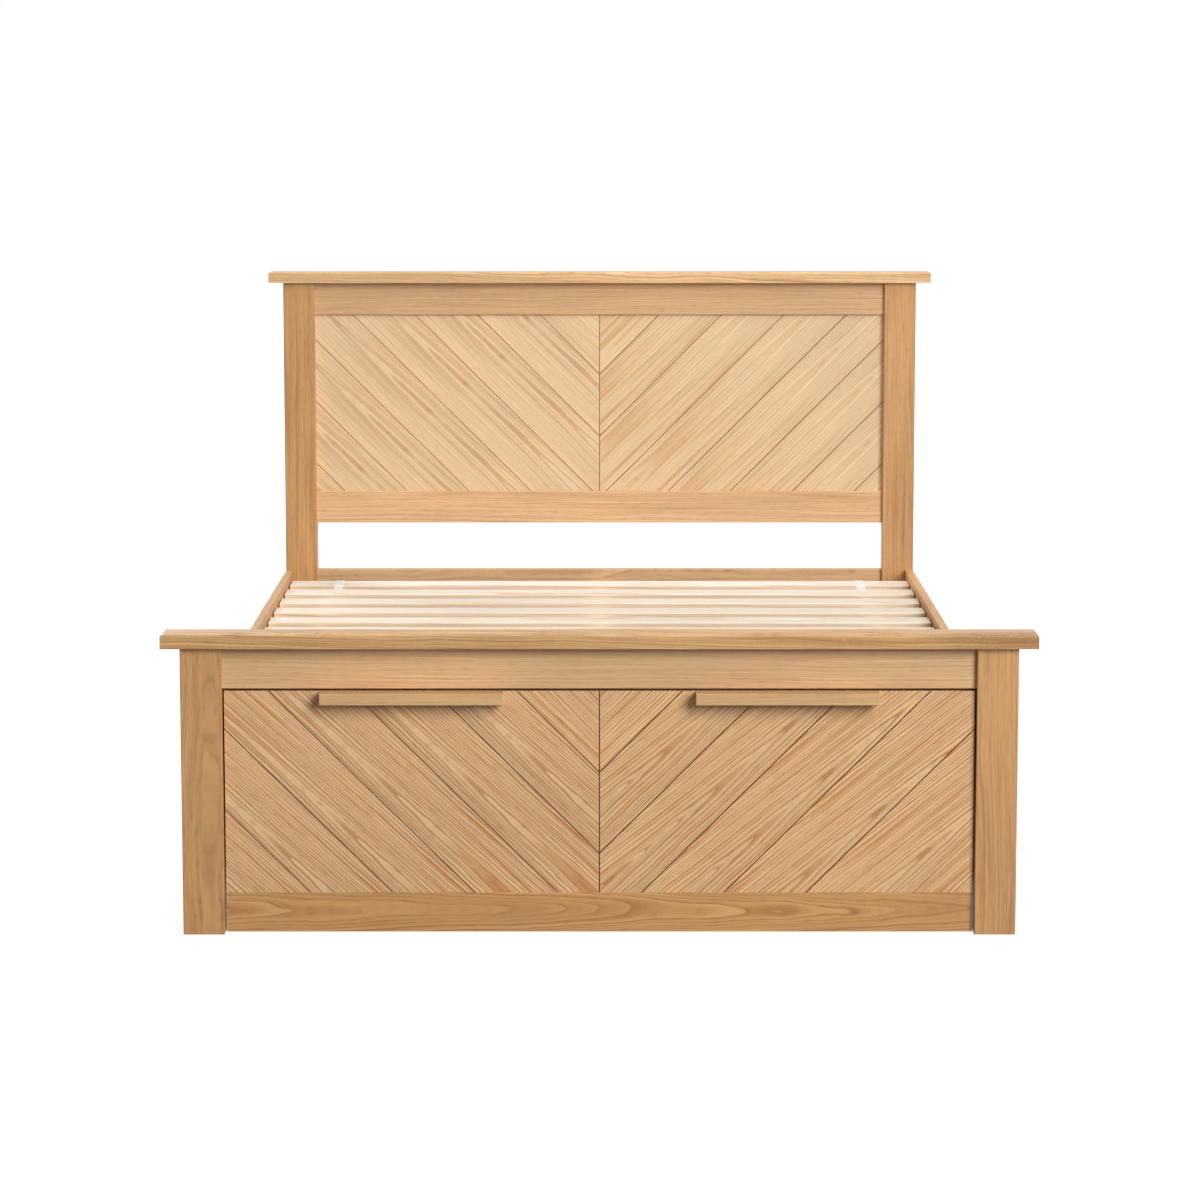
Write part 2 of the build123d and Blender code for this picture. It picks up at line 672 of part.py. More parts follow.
def drawer_front():
    holes = both_sides(handle_screw_holes())
    plank_back = FACE_Y + PLANK_T
    backing = block(-DRAWER_HALF, DRAWER_HALF, plank_back, FRONT_BACK_Y, DRAWER_RAIL_TOP, DRAWER_TOP)
    save("drawer_backing", without(backing, holes))
    planks = chevron(DRAWER_HALF, DRAWER_RAIL_TOP, DRAWER_TOP, DRAWER_TOP, plank_back, CORNER_JOINTS_OUT)
    reach = [tool.bounding_box() for tool in holes]
    save("drawer_chevron", *[without(solid, near(solid, holes, reach)) for solid in planks])
    bottom = block(-DRAWER_HALF, DRAWER_HALF, FACE_Y, FRONT_BACK_Y, DRAWER_GAP_FLOOR, DRAWER_RAIL_TOP)
    save("drawer_bottom_rail", bottom)
    right = handle()
    save("handle_right", right)
    save("handle_left", mirrored(right))
    length = RAIL_T - HANDLE_SCREW_SUNK + HANDLE_SCREW_IN
    screws = [screw(seat, TOWARDS_FOOT, length) for seat in handle_screw_seats(HANDLE_X)]
    save("handle_screws", *both_sides(screws))


def near(solid, tools, boxes):
    """The tools whose boxes meet a solid's box."""
    own = solid.bounding_box()
    return [
        tool
        for tool, box in zip(tools, boxes)
        if box.min.X < own.max.X and own.min.X < box.max.X
        and box.min.Z < own.max.Z and own.min.Z < box.max.Z
    ]


# Drawer box


def drawer_box():
    side = block(BOX_IN_HALF, BOX_HALF, FRONT_BACK_Y, BOX_BACK_Y, CASTOR_H - BASE_LIP, BOX_TOP)
    groove_x = BOX_IN_HALF + BASE_TONGUE + JOINT_FIT
    groove = block(
        BOX_IN_HALF, groove_x, FRONT_BACK_Y, BOX_BACK_Y, CASTOR_H - JOINT_FIT, BASE_TOP + JOINT_FIT
    )
    side = side - groove
    save("drawer_side_right", side)
    save("drawer_side_left", mirrored(side))
    back_y = BOX_BACK_Y - BOX_WALL
    save("drawer_back", block(-BOX_IN_HALF, BOX_IN_HALF, back_y, BOX_BACK_Y, BASE_TOP, BOX_TOP))
    save("drawer_divider", block(-BOX_WALL / 2, BOX_WALL / 2, FRONT_BACK_Y, back_y, BASE_TOP, BOX_TOP))
    half = BOX_IN_HALF + BASE_TONGUE
    base = block(-half, half, FRONT_BACK_Y, BOX_BACK_Y, CASTOR_H, BASE_TOP)
    seats = [seat for name, x, y in castor_places() for seat in castor_screw_seats(x, y)]
    holes = [screw_hole(seat, UP, CASTOR_SCREW_L) for seat in seats]
    save("drawer_base", without(base, holes))


# Castors


def castor_places():
    """Name and place of each castor under the drawer."""
    x = BOX_HALF - CASTOR_IN_X
    front = FRONT_BACK_Y + CASTOR_IN_Y
    back = BOX_BACK_Y - CASTOR_IN_Y
    return [
        ("front_left", -x, front),
        ("front_right", x, front),
        ("back_left", -x, back),
        ("back_right", x, back),
    ]


def castor_screw_seats(x, y):
    z = CASTOR_H - FORK_T
    offsets = [(a, b) for a in (-PLATE_SCREW_X, PLATE_SCREW_X) for b in (-PLATE_SCREW_Y, PLATE_SCREW_Y)]
    return [Vector(x + a, y + b, z) for a, b in offsets]


def fork_inner():
    """Half the space between the cheeks of a fork."""
    return WHEEL_W / 2 + WHEEL_BOSS_PROUD + FORK_SIDE_GAP


def fork(x, y):
    """A fixed castor's plate with two cheeks that hold the axle."""
    plate_z = CASTOR_H - FORK_T
    frame = block(x - PLATE_X / 2, x + PLATE_X / 2, y - PLATE_Y / 2, y + PLATE_Y / 2, plate_z, CASTOR_H)
    for side in (-1, 1):
        inner = x + side * fork_inner()
        outer = inner + side * FORK_T
        frame += block(inner, outer, y - FORK_R, y + FORK_R, WHEEL_R, plate_z)
        frame += rod(Vector(inner, y, WHEEL_R), RIGHT * side, FORK_R, FORK_T)
    reach = fork_inner() + FORK_T
    frame -= rod(Vector(x - reach, y, WHEEL_R), RIGHT, AXLE_R + HOLE_FIT, 2 * reach)
    return without(frame, [screw_hole(s, UP, FORK_T) for s in castor_screw_seats(x, y)])


def axle(x, y):
    """A rivet with a head outside each cheek."""
    reach = fork_inner() + FORK_T
    pin = rod(Vector(x - reach, y, WHEEL_R), RIGHT, AXLE_R, 2 * reach)
    for side in (-1, 1):
        pin += rod(Vector(x + side * reach, y, WHEEL_R), RIGHT * side, AXLE_HEAD_R, AXLE_HEAD_T)
    return pin


def wheel(x, y):
    """A castor wheel with a rounded tread, dished sides and a boss."""
    start = Vector(x - WHEEL_W / 2, y, WHEEL_R)
    tread = rod(start, RIGHT, WHEEL_R, WHEEL_W)
    tread = fillet(tread.edges().filter_by(GeomType.CIRCLE), WHEEL_EDGE_R)
    for side in (-1, 1):
        face = Vector(x + side * WHEEL_W / 2, y, WHEEL_R)
        dish = rod(face, RIGHT * -side, WHEEL_R - WHEEL_RIM, WHEEL_DISH)
        tread -= dish - rod(face, RIGHT * -side, WHEEL_BOSS_R, WHEEL_DISH)
        tread += rod(face, RIGHT * side, WHEEL_BOSS_R, WHEEL_BOSS_PROUD)
    half = WHEEL_W / 2 + WHEEL_BOSS_PROUD
    return tread - rod(Vector(x - half, y, WHEEL_R), RIGHT, AXLE_R + AXLE_FIT, 2 * half)


def castors():
    places = castor_places()
    screws = []
    for name, x, y in places:
        save(f"castor_wheel_{name}", wheel(x, y))
        screws += [screw(seat, UP, CASTOR_SCREW_L) for seat in castor_screw_seats(x, y)]
    save("castor_forks", *[fork(x, y) for name, x, y in places])
    save("castor_axles", *[axle(x, y) for name, x, y in places])
    save("castor_screws", *screws)


head_end()
foot_end()
side_rails()
slats()
save("slat_straps", *both_sides([strap()]))
centre_support()
fastenings()
drawer_front()
drawer_box()
castors()
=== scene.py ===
import math
import random

import bmesh
import bpy
from mathutils import Matrix, Vector


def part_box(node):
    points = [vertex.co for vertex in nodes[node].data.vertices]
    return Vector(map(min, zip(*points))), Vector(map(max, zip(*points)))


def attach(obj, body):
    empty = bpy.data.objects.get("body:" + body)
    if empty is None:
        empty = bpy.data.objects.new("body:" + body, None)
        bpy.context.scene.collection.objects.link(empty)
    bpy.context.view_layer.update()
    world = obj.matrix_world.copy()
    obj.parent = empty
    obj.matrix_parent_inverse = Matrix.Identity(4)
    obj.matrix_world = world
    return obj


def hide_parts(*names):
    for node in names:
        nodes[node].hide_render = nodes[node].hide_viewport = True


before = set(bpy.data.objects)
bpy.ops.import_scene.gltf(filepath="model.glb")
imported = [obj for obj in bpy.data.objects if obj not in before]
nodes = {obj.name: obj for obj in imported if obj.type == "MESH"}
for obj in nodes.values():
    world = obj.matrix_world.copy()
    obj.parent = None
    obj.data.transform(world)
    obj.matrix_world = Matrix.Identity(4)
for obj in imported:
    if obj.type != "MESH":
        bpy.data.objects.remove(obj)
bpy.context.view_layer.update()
MM = 0.001


# Camera
# It stands in front of the foot end, a little above the headboard, and looks slightly down.
# The small shift keeps the posts close to upright, as they are in the photograph.
CAMERA_PLACE = (0.001, -6.743, 1.478)
CAMERA_PITCH = math.radians(6.94)
CAMERA_LENS = 103.5
CAMERA_SHIFT = -0.1
CAMERA_SENSOR = 36

camera = bpy.data.objects.new("camera", bpy.data.cameras.new("camera"))
camera.location = CAMERA_PLACE
camera.rotation_euler = (math.pi / 2 - CAMERA_PITCH, 0, 0)
camera.data.lens = CAMERA_LENS
camera.data.sensor_width = CAMERA_SENSOR
camera.data.shift_y = CAMERA_SHIFT
bpy.context.scene.collection.objects.link(camera)
bpy.context.scene.camera = camera
bpy.context.scene.view_settings.view_transform = "Standard"


# Studio
# A pale floor that keeps the bed's shadow, a large soft lamp from the front right, one overhead and a
# weaker one behind. The background is white to the eye and in reflections, and a plain fill to the wood.
AMBIENT = 0.24
FLOOR_SIZE = 60.0
FLOOR_COLOUR = "#e6e4e1"
FLOOR_BOUNCE = "#3c3936"
FLOOR_GLOW = 0.9
FLOOR_SHADE = 0.32
SHADE_NEAR = 1.8
SHADE_FAR = 5.0
LAMPS = {
    "key_lamp": {"place": (6.2, -9.3, 5.8), "aim": (0, -0.8, 0.4), "size": (5.0, 7.6), "power": 1560},
    "overhead_lamp": {"place": (0.2, 0.0, 3.1), "aim": (0, 0.1, 0), "size": (1.8, 1.4), "power": 30},
    "back_lamp": {"place": (-3.6, 5.4, 2.6), "aim": (0, 0.8, 0.5), "size": (3.0, 2.4), "power": 230},
}


def linear(hex_colour, shade=1.0):
    """An sRGB hex colour as linear RGBA, made lighter or darker by shade."""
    parts = [int(hex_colour[i : i + 2], 16) / 255 for i in (1, 3, 5)]
    parts = [c / 12.92 if c <= 0.04045 else ((c + 0.055) / 1.055) ** 2.4 for c in parts]
    return (*(c * shade for c in parts), 1.0)


def add(tree, kind, sockets=(), **settings):
    """Add one node, with its settings, and fill its inputs with values or with what feeds them."""
    made = tree.nodes.new("ShaderNode" + kind)
    for key, value in settings.items():
        setattr(made, key, value)
    for key, value in dict(sockets).items():
        if isinstance(value, bpy.types.Node):
            value = value.outputs[0]
        if isinstance(value, bpy.types.NodeSocket):
            tree.links.new(value, made.inputs[key])
        else:
            made.inputs[key].default_value = value
    return made


def seen_directly(tree):
    """1 for rays from the camera, in a mirror or through glass, and 0 for light that falls on the bed."""
    path = add(tree, "LightPath").outputs
    clear = {0: path["Is Glossy Ray"], 1: path["Is Transmission Ray"]}
    shiny = add(tree, "Math", clear, operation="MAXIMUM")
    return add(tree, "Math", {0: path["Is Camera Ray"], 1: shiny}, operation="MAXIMUM")


world = bpy.data.worlds.new("studio")
bpy.context.scene.world = world
world.use_nodes = True
tree = world.node_tree
tree.nodes.clear()
fill = add(tree, "Background", {"Color": (1, 1, 1, 1), "Strength": AMBIENT})
white = add(tree, "Background", {"Color": (1, 1, 1, 1), "Strength": 1.0})
both = add(tree, "MixShader", {0: seen_directly(tree), 1: fill, 2: white})
add(tree, "OutputWorld", {"Surface": both})

for name, lamp in LAMPS.items():
    data = bpy.data.lights.new(name, "AREA")
    data.shape = "RECTANGLE"
    data.size, data.size_y = lamp["size"]
    data.energy = lamp["power"]
    obj = bpy.data.objects.new(name, data)
    obj.location = lamp["place"]
    obj.rotation_euler = (Vector(lamp["aim"]) - obj.location).to_track_quat("-Z", "Y").to_euler()
    bpy.context.scene.collection.objects.link(obj)

floor_paint = bpy.data.materials.new("pale studio floor")
floor_paint.use_nodes = True
tree = floor_paint.node_tree
tree.nodes.clear()
spot = add(tree, "TexCoord").outputs["Object"]
away = add(tree, "VectorMath", {0: spot}, operation="LENGTH").outputs["Value"]
near_sockets = {0: away, 1: SHADE_NEAR, 2: SHADE_FAR, 3: FLOOR_SHADE, 4: 0.0}
near = add(tree, "MapRange", near_sockets, interpolation_type="SMOOTHSTEP")
lit = add(tree, "BsdfDiffuse", {"Color": linear(FLOOR_COLOUR)})
glow = add(tree, "Emission", {"Color": (1, 1, 1, 1), "Strength": FLOOR_GLOW / (1 - FLOOR_SHADE)})
shown = add(tree, "MixShader", {0: near, 1: glow, 2: lit})
bounce = add(tree, "BsdfDiffuse", {"Color": linear(FLOOR_BOUNCE)})
floor_mix = add(tree, "MixShader", {0: seen_directly(tree), 1: bounce, 2: shown})
add(tree, "OutputMaterial", {"Surface": floor_mix})
bm = bmesh.new()
bmesh.ops.create_grid(bm, x_segments=1, y_segments=1, size=FLOOR_SIZE / 2)
mesh = bpy.data.meshes.new("floor")
bm.to_mesh(mesh)
bm.free()
floor = bpy.data.objects.new("floor", mesh)
floor.data.materials.append(floor_paint)
bpy.context.scene.collection.objects.link(floor)


# Posts
# Four solid oak posts, 70 x 45 mm, planed and oiled to a satin finish. Each is cut from its own plank,
# so every one has its own grain: growth rings are cylinders round the heart of the tree, cut by the board.
OAK = {"dark": "#b17d49", "middle": "#c4935f", "pale": "#cfa371", "streak": "#a46e38"}
WOOD_ROUGH = (0.42, 0.62)
WOOD_IOR = 1.5
PORE_LONG = 26 * MM
PORE_WIDE = 1.5 * MM
FIBRE_LONG = 170 * MM
FIBRE_WIDE = 3.2 * MM
STREAK_LONG = 360 * MM
STREAK_WIDE = 8 * MM
WANDER_LONG = 300 * MM
WANDER_WIDE = 90 * MM
RIPPLE_LONG = 48 * MM
RIPPLE_WIDE = 13 * MM
CLOUD_LONG = 620 * MM
CLOUD_WIDE = 110 * MM
YEAR_RUNS = 0.23
PALE_WOOD = (0.72, 0.93)
EARLY_WOOD = 0.6
LATE_PORES = 0.45
PATCH_EDGE = (0.52, 0.68)
NOISE_SPAN = (0.3, 0.7)
# Faces turned this far along Y take the painted edge shade.
EDGE_SHADE_FACING = (0.4, 0.8)
WOOD_BUMP = 0.4 * MM


def timber(
    name, tones, cut, turn=None, place=None, shade=1.0,
    pores=0.22, fibre=0.10, cloud=0.10, streak=0.3, edge=None,
):
    """Wood as it grows: rings round a heart that lies at cut["heart"] in the board's own frame.

    X runs along the grain, Y across the face and Z into it. Without a turn the frame is the mesh's own
    "grain" attribute. Rings are as coarse as they have to be to show, and pores are drawn wide for that too.
    Pores, fibre, cloud and streak say how strong each of these is, and edge is a painted shade that darkens
    and warms the sawn edges, which are the faces that look along the object's Y.
    """
    material = bpy.data.materials.new(name)
    material.use_nodes = True
    tree = material.node_tree
    tree.nodes.clear()
    if turn is None:
        spot = add(tree, "Attribute", attribute_name="grain").outputs["Vector"]
    else:
        base = add(tree, "TexCoord").outputs["Object"]
        spot = add(tree, "Mapping", {"Vector": base, "Rotation": turn, "Location": place})

    def patch(where, long, wide, detail):
        """Noise whose patches are long along the grain and narrow across it."""
        shares = {0: where, 1: (1 / long, 1 / wide, 1 / wide)}
        squeezed = add(tree, "VectorMath", shares, operation="MULTIPLY")
        return add(tree, "TexNoise", {"Vector": squeezed, "Scale": 1.0, "Detail": detail})

    def span(value, low, high, bottom, top):
        """Stretch a share between low and high to bottom and top."""
        return add(tree, "MapRange", {0: value, 1: low, 2: high, 3: bottom, 4: top})

    heart_y, heart_z = cut["heart"]
    from_heart = {0: spot, 1: (0, 1, 1), 2: (0, -heart_y, -heart_z)}
    flat = add(tree, "VectorMath", from_heart, operation="MULTIPLY_ADD")
    radius = add(tree, "VectorMath", {0: flat}, operation="LENGTH").outputs["Value"]
    fade = span(radius, heart_z, heart_z + cut["near"], 1.0, cut["far"])
    along = add(tree, "SeparateXYZ", {0: spot}).outputs["X"]
    radius = add(tree, "Math", {0: along, 1: cut["taper"], 2: radius}, operation="MULTIPLY_ADD")
    sway = cut["wander"]
    drift = span(patch(spot, WANDER_LONG, WANDER_WIDE, 2.0), 0, 1, -sway, sway)
    radius = add(tree, "Math", {0: radius, 1: drift})
    sway = cut["ripple"]
    drift = span(patch(spot, RIPPLE_LONG, RIPPLE_WIDE, 3.0), 0, 1, -sway, sway)
    radius = add(tree, "Math", {0: radius, 1: drift})
    # Wide and narrow years come in runs.
    years = add(tree, "Math", {0: radius, 1: cut["ring"]}, operation="DIVIDE")
    spell = add(tree, "TexNoise", {"W": years, "Scale": YEAR_RUNS, "Detail": 1.0}, noise_dimensions="1D")
    years = add(tree, "Math", {0: years, 1: span(spell, 0, 1, -cut["uneven"], cut["uneven"])})
    year = add(tree, "Math", {0: years}, operation="FLOOR")
    season = add(tree, "Math", {0: years}, operation="FRACT")

    ramp = add(tree, "ValToRGB", {0: season})
    pale = [(share, "pale") for share in PALE_WOOD]
    stops = [(0.0, "dark"), (cut["line"], "middle"), *pale, (1.0, "dark")]
    while len(ramp.color_ramp.elements) < len(stops):
        ramp.color_ramp.elements.new(0.5)
    for element, (position, tone) in zip(ramp.color_ramp.elements, stops):
        element.position = position
        element.color = linear(tones[tone], shade)
    chance = add(tree, "TexWhiteNoise", {"W": year}, noise_dimensions="1D")
    strength = span(chance.outputs["Value"], 0, 1, cut["least"], cut["most"])
    strength = add(tree, "Math", {0: strength, 1: fade}, operation="MULTIPLY")
    middle = linear(tones["middle"], shade)
    colour = add(tree, "Mix", {0: strength, 6: middle, 7: ramp}, data_type="RGBA").outputs[2]

    # Streaks and pores follow the rings, so they are read from the place along the grain and in the ring.
    bent = add(tree, "CombineXYZ", {0: along, 1: radius})
    band = span(patch(bent, STREAK_LONG, STREAK_WIDE, 2.0), *PATCH_EDGE, 0, streak)
    streaked = {0: band, 6: colour, 7: linear(tones["streak"], shade)}
    colour = add(tree, "Mix", streaked, data_type="RGBA").outputs[2]
    pore = span(patch(bent, PORE_LONG, PORE_WIDE, 1.0), *PATCH_EDGE, 0.0, 1.0)
    early = span(season, 0.0, EARLY_WOOD, 1.0, LATE_PORES)
    pore = add(tree, "Math", {0: pore, 1: early}, operation="MULTIPLY")
    value = span(patch(bent, FIBRE_LONG, FIBRE_WIDE, 2.0), *NOISE_SPAN, 1 - fibre, 1 + fibre)
    broad = span(patch(spot, CLOUD_LONG, CLOUD_WIDE, 2.0), *NOISE_SPAN, 1 - cloud, 1 + cloud)
    value = add(tree, "Math", {0: value, 1: broad}, operation="MULTIPLY")
    holes = span(pore, 0, 1, 1.0, 1 - pores)
    value = add(tree, "Math", {0: value, 1: holes}, operation="MULTIPLY")
    colour = add(tree, "VectorMath", {0: colour, "Scale": value}, operation="SCALE")
    # Painted shade: the faces that look along Y are darkened and warmed by the edge colour.
    if edge:
        facing = add(tree, "SeparateXYZ", {0: add(tree, "TexCoord").outputs["Normal"]}).outputs["Y"]
        facing = add(tree, "Math", {0: facing}, operation="ABSOLUTE")
        edge_shaded = {0: span(facing, *EDGE_SHADE_FACING, 0, 1), 6: colour, 7: linear(edge)}
        colour = add(tree, "Mix", edge_shaded, data_type="RGBA", blend_type="MULTIPLY").outputs[2]
    rough = span(pore, 0, 1, *WOOD_ROUGH)
    bump = add(tree, "Bump", {"Height": value, "Strength": 0.35, "Distance": WOOD_BUMP})
    surface = {"Base Color": colour, "Roughness": rough, "IOR": WOOD_IOR, "Normal": bump}
    add(tree, "OutputMaterial", {"Surface": add(tree, "BsdfPrincipled", surface)})
    return material


def board_frame(along, deep, node, slide):
    """Turn and place that bring a board's length to X, its depth to Z and its middle to X = slide."""
    along, deep = Vector(along), Vector(deep)
    turn = Matrix((along, deep.cross(along), deep))
    low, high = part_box(node)
    place = Vector((slide, 0, 0)) - turn @ ((low + high) / 2)
    return turn.to_euler(), place


def dress(node, material):
    """Give a CAD piece its finish."""
    nodes[node].data.materials.clear()
    nodes[node].data.materials.append(material)


def cut_board(node, along, deep, slide, tones, cut, kind="oiled oak", **looks):
    """Give one solid board its own cut of wood."""
    turn, place = board_frame(along, deep, node, slide)
    dress(node, timber(f"{kind} {node}", tones, cut, turn, place, **looks))


# In a cut, taper spreads the rings along the board, wander and ripple are how far they sway, ring is how
# wide a year is and uneven how much years differ. Line is the dark share of a year, least and most are how
# strong that dark is, and it fades to the share far at the distance near from the heart.
POST_CUT = {"heart": (0, 0), "taper": 0.012, "wander": 9 * MM, "ripple": 0.9 * MM, "ring": 3.4 * MM}
POST_CUT |= {"near": 40 * MM, "far": 0.8, "uneven": 1.2, "line": 0.3, "least": 0.1, "most": 0.8}
POSTS = {
    "foot_post_left": {"heart": (12 * MM, 44 * MM), "slide": 0.7, "shade": 0.94},
    "foot_post_right": {"heart": (-66 * MM, 30 * MM), "slide": 2.9, "shade": 1.0},
    "head_post_left": {"heart": (82 * MM, 50 * MM), "slide": 5.3, "shade": 0.94},
    "head_post_right": {"heart": (-90 * MM, 46 * MM), "slide": 8.1, "shade": 0.96},
}
for node, post in POSTS.items():
    cut = POST_CUT | {"heart": post["heart"]}
    looks = {"shade": post["shade"], "fibre": 0.14, "streak": 0.5}
    cut_board(node, (0, 0, 1), (0, 1, 0), post["slide"], OAK, cut, **looks)


# Rails
# Solid oak rails, 22 mm thick, tenoned between the posts and set back 10 mm from their faces.
# Their grain runs across the bed in long, nearly straight lines.
RAIL_CUT = {"heart": (0, 0), "taper": 0.006, "wander": 7 * MM, "ripple": 0.9 * MM, "ring": 4.2 * MM}
RAIL_CUT |= {"near": 60 * MM, "far": 0.8, "uneven": 1.4, "line": 0.34, "least": 0.1, "most": 0.8}
RAIL_OAK = {"dark": "#bb8955", "middle": "#cfa579", "pale": "#dbb88d", "streak": "#b88450"}
RAILS = {
    "foot_rail": {"heart": (-130 * MM, 50 * MM), "slide": 1.3, "shade": 1.02},
    "head_top_rail": {"heart": (150 * MM, 40 * MM), "slide": 4.4, "shade": 0.97},
    "head_mid_rail": {"heart": (-90 * MM, 80 * MM), "slide": 6.2, "shade": 1.08},
    "head_low_rail": {"heart": (60 * MM, 50 * MM), "slide": 9.4, "shade": 0.98},
}
for node, rail in RAILS.items():
    cut = RAIL_CUT | {"heart": rail["heart"]}
    cut_board(node, (1, 0, 0), (0, -1, 0), rail["slide"], RAIL_OAK, cut, shade=rail["shade"])


# Caps
# Overhanging oak boards, 24 mm thick with rounded top edges, dowelled onto the posts.
# The boards are flat sawn, so their top shows broad figure and their front edge close lines.
CAP_CUT = {"taper": 0.02, "wander": 10 * MM, "ripple": 1.2 * MM, "ring": 5.0 * MM}
CAP_CUT |= {"near": 60 * MM, "far": 0.8, "uneven": 1.4, "line": 0.36, "least": 0.15, "most": 0.9}
CAP_OAK = {"dark": "#ad7a44", "middle": "#cb9b65", "pale": "#dcb680", "streak": "#a9733b"}
HEAD_CAP_OAK = {"dark": "#b58651", "middle": "#cfa777", "pale": "#dfbf91", "streak": "#ab7c48"}
BROWN_END = Vector((0.735, -0.004, 0.01))
BROWN_LONG = 190 * MM
BROWN_WIDE = 40 * MM
SMEAR_LONG = 110 * MM
SMEAR_WIDE = 11 * MM
SMEAR_REACH = 0.9
BROWN_FADE = (1.15, 1.65)
BROWN_MOST = 0.42
BROWN_HEARTWOOD = "#7a4a22"
FLECK_SIZE = (6 * MM, 3.4 * MM, 2.4 * MM)
FLECK_EDGE = (0.62, 0.72)
FLECK_MOST = 0.35
PALE_RAY = "#d9b888"
cut = CAP_CUT | {"heart": (20 * MM, 46 * MM)}
cut_board("foot_cap", (1, 0, 0), (0, 0, -1), 2.0, CAP_OAK, cut, shade=0.94, fibre=0.14, streak=0.6)
cut = CAP_CUT | {"heart": (-16 * MM, 52 * MM)}
cut_board("head_cap", (1, 0, 0), (0, 0, -1), 7.0, HEAD_CAP_OAK, cut, shade=1.04, streak=0.6)

# The foot cap's right end runs into brown heartwood, with pale flecks of ray across its edge.
tree = nodes["foot_cap"].data.materials[0].node_tree
shader = next(node for node in tree.nodes if node.type == "BSDF_PRINCIPLED")
plain = shader.inputs["Base Color"].links[0].from_socket
low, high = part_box("foot_cap")
base = add(tree, "TexCoord").outputs["Object"]
brown_middle = BROWN_END + Vector((0, low.y, high.z))
from_end = add(tree, "VectorMath", {0: base, 1: brown_middle}, operation="SUBTRACT")
shares = {0: from_end, 1: (1 / BROWN_LONG, 1 / BROWN_WIDE, 1 / BROWN_WIDE)}
from_end = add(tree, "VectorMath", shares, operation="MULTIPLY")
from_end = add(tree, "VectorMath", {0: from_end}, operation="LENGTH").outputs["Value"]
shares = {0: base, 1: (1 / SMEAR_LONG, 1 / SMEAR_WIDE, 1 / SMEAR_WIDE)}
smear = add(tree, "VectorMath", shares, operation="MULTIPLY")
smear = add(tree, "TexNoise", {"Vector": smear, "Scale": 1.0, "Detail": 3.0})
ragged = add(tree, "Math", {0: smear, 1: SMEAR_REACH, 2: from_end}, operation="MULTIPLY_ADD")
brown = add(tree, "MapRange", {0: ragged, 1: BROWN_FADE[0], 2: BROWN_FADE[1], 3: BROWN_MOST, 4: 0.0})
fleck = add(tree, "VectorMath", {0: base, 1: FLECK_SIZE}, operation="DIVIDE")
fleck = add(tree, "TexNoise", {"Vector": fleck, "Scale": 1.0, "Detail": 1.0})
fleck = add(tree, "MapRange", {0: fleck, 1: FLECK_EDGE[0], 2: FLECK_EDGE[1], 3: 0, 4: FLECK_MOST})
stained = {0: brown, 6: plain, 7: linear(BROWN_HEARTWOOD)}
stained = add(tree, "Mix", stained, data_type="RGBA").outputs[2]
flecked = {0: fleck, 6: stained, 7: linear(PALE_RAY)}
flecked = add(tree, "Mix", flecked, data_type="RGBA").outputs[2]
tree.links.new(flecked, shader.inputs["Base Color"])


# Chevron planks
# Veneered planks, 99 mm wide and 6 mm thick, laid at 45 degrees and mitred on the centre line.
# Every long edge is planed to a small V, whose faces get a darker wood colour as painted shade, so the
# joints show as fine dark lines. The veneer is slip matched: each plank repeats its neighbour's figure a
# little further along.
PLANK_WIDE = 99 * MM
PLANK_GAP = 0.2 * MM
PLANK_V = 1.0 * MM
PLANK_LEAST = 8 * MM
CLOSE = 1e-6


def plank(low, high, left, right, bottom, top, front, back):
    """One plank of the right half as a bmesh, whose joints cross the centre line at low and at high."""
    wide = (high - low) / math.sqrt(2) - PLANK_GAP
    reach = 4 * (right - left)
    bm = bmesh.new()
    bmesh.ops.create_cube(bm, size=1)
    bmesh.ops.scale(bm, vec=(reach, back - front, wide), verts=bm.verts)
    bmesh.ops.rotate(bm, matrix=Matrix.Rotation(-math.pi / 4, 3, "Y"), verts=bm.verts)
    bmesh.ops.translate(bm, vec=(0, (front + back) / 2, (low + high) / 2), verts=bm.verts)
    walls = [
        ((left, 0, 0), (-1, 0, 0)),
        ((right, 0, 0), (1, 0, 0)),
        ((0, 0, bottom), (0, 0, -1)),
        ((0, 0, top), (0, 0, 1)),
    ]
    for point, outwards in walls:
        everything = bm.verts[:] + bm.edges[:] + bm.faces[:]
        cut = bmesh.ops.bisect_plane(
            bm, geom=everything, dist=1e-7, plane_co=point, plane_no=outwards, clear_outer=True
        )
        rim = [e for e in cut["geom_cut"] if isinstance(e, bmesh.types.BMEdge) and e.is_boundary]
        if rim:
            bmesh.ops.contextual_create(bm, geom=rim)
    planed = []
    for edge in bm.edges:
        a, b = (v.co for v in edge.verts)
        on_front = abs(a.y - front) < CLOSE and abs(b.y - front) < CLOSE
        slanted = abs(abs(a.x - b.x) - abs(a.z - b.z)) < CLOSE
        mitred = abs(a.x - left) < CLOSE and abs(b.x - left) < CLOSE
        if on_front and (slanted or mitred):
            planed.append(edge)
    made = bmesh.ops.bevel(
        bm, geom=planed, offset=PLANK_V, offset_type="OFFSET", segments=2, profile=0.5,
        affect="EDGES", clamp_overlap=True, material=-1,
    )
    # The V's faces take the third material, a darker painted shade.
    for face in made["faces"]:
        face.material_index = 2
    return bm


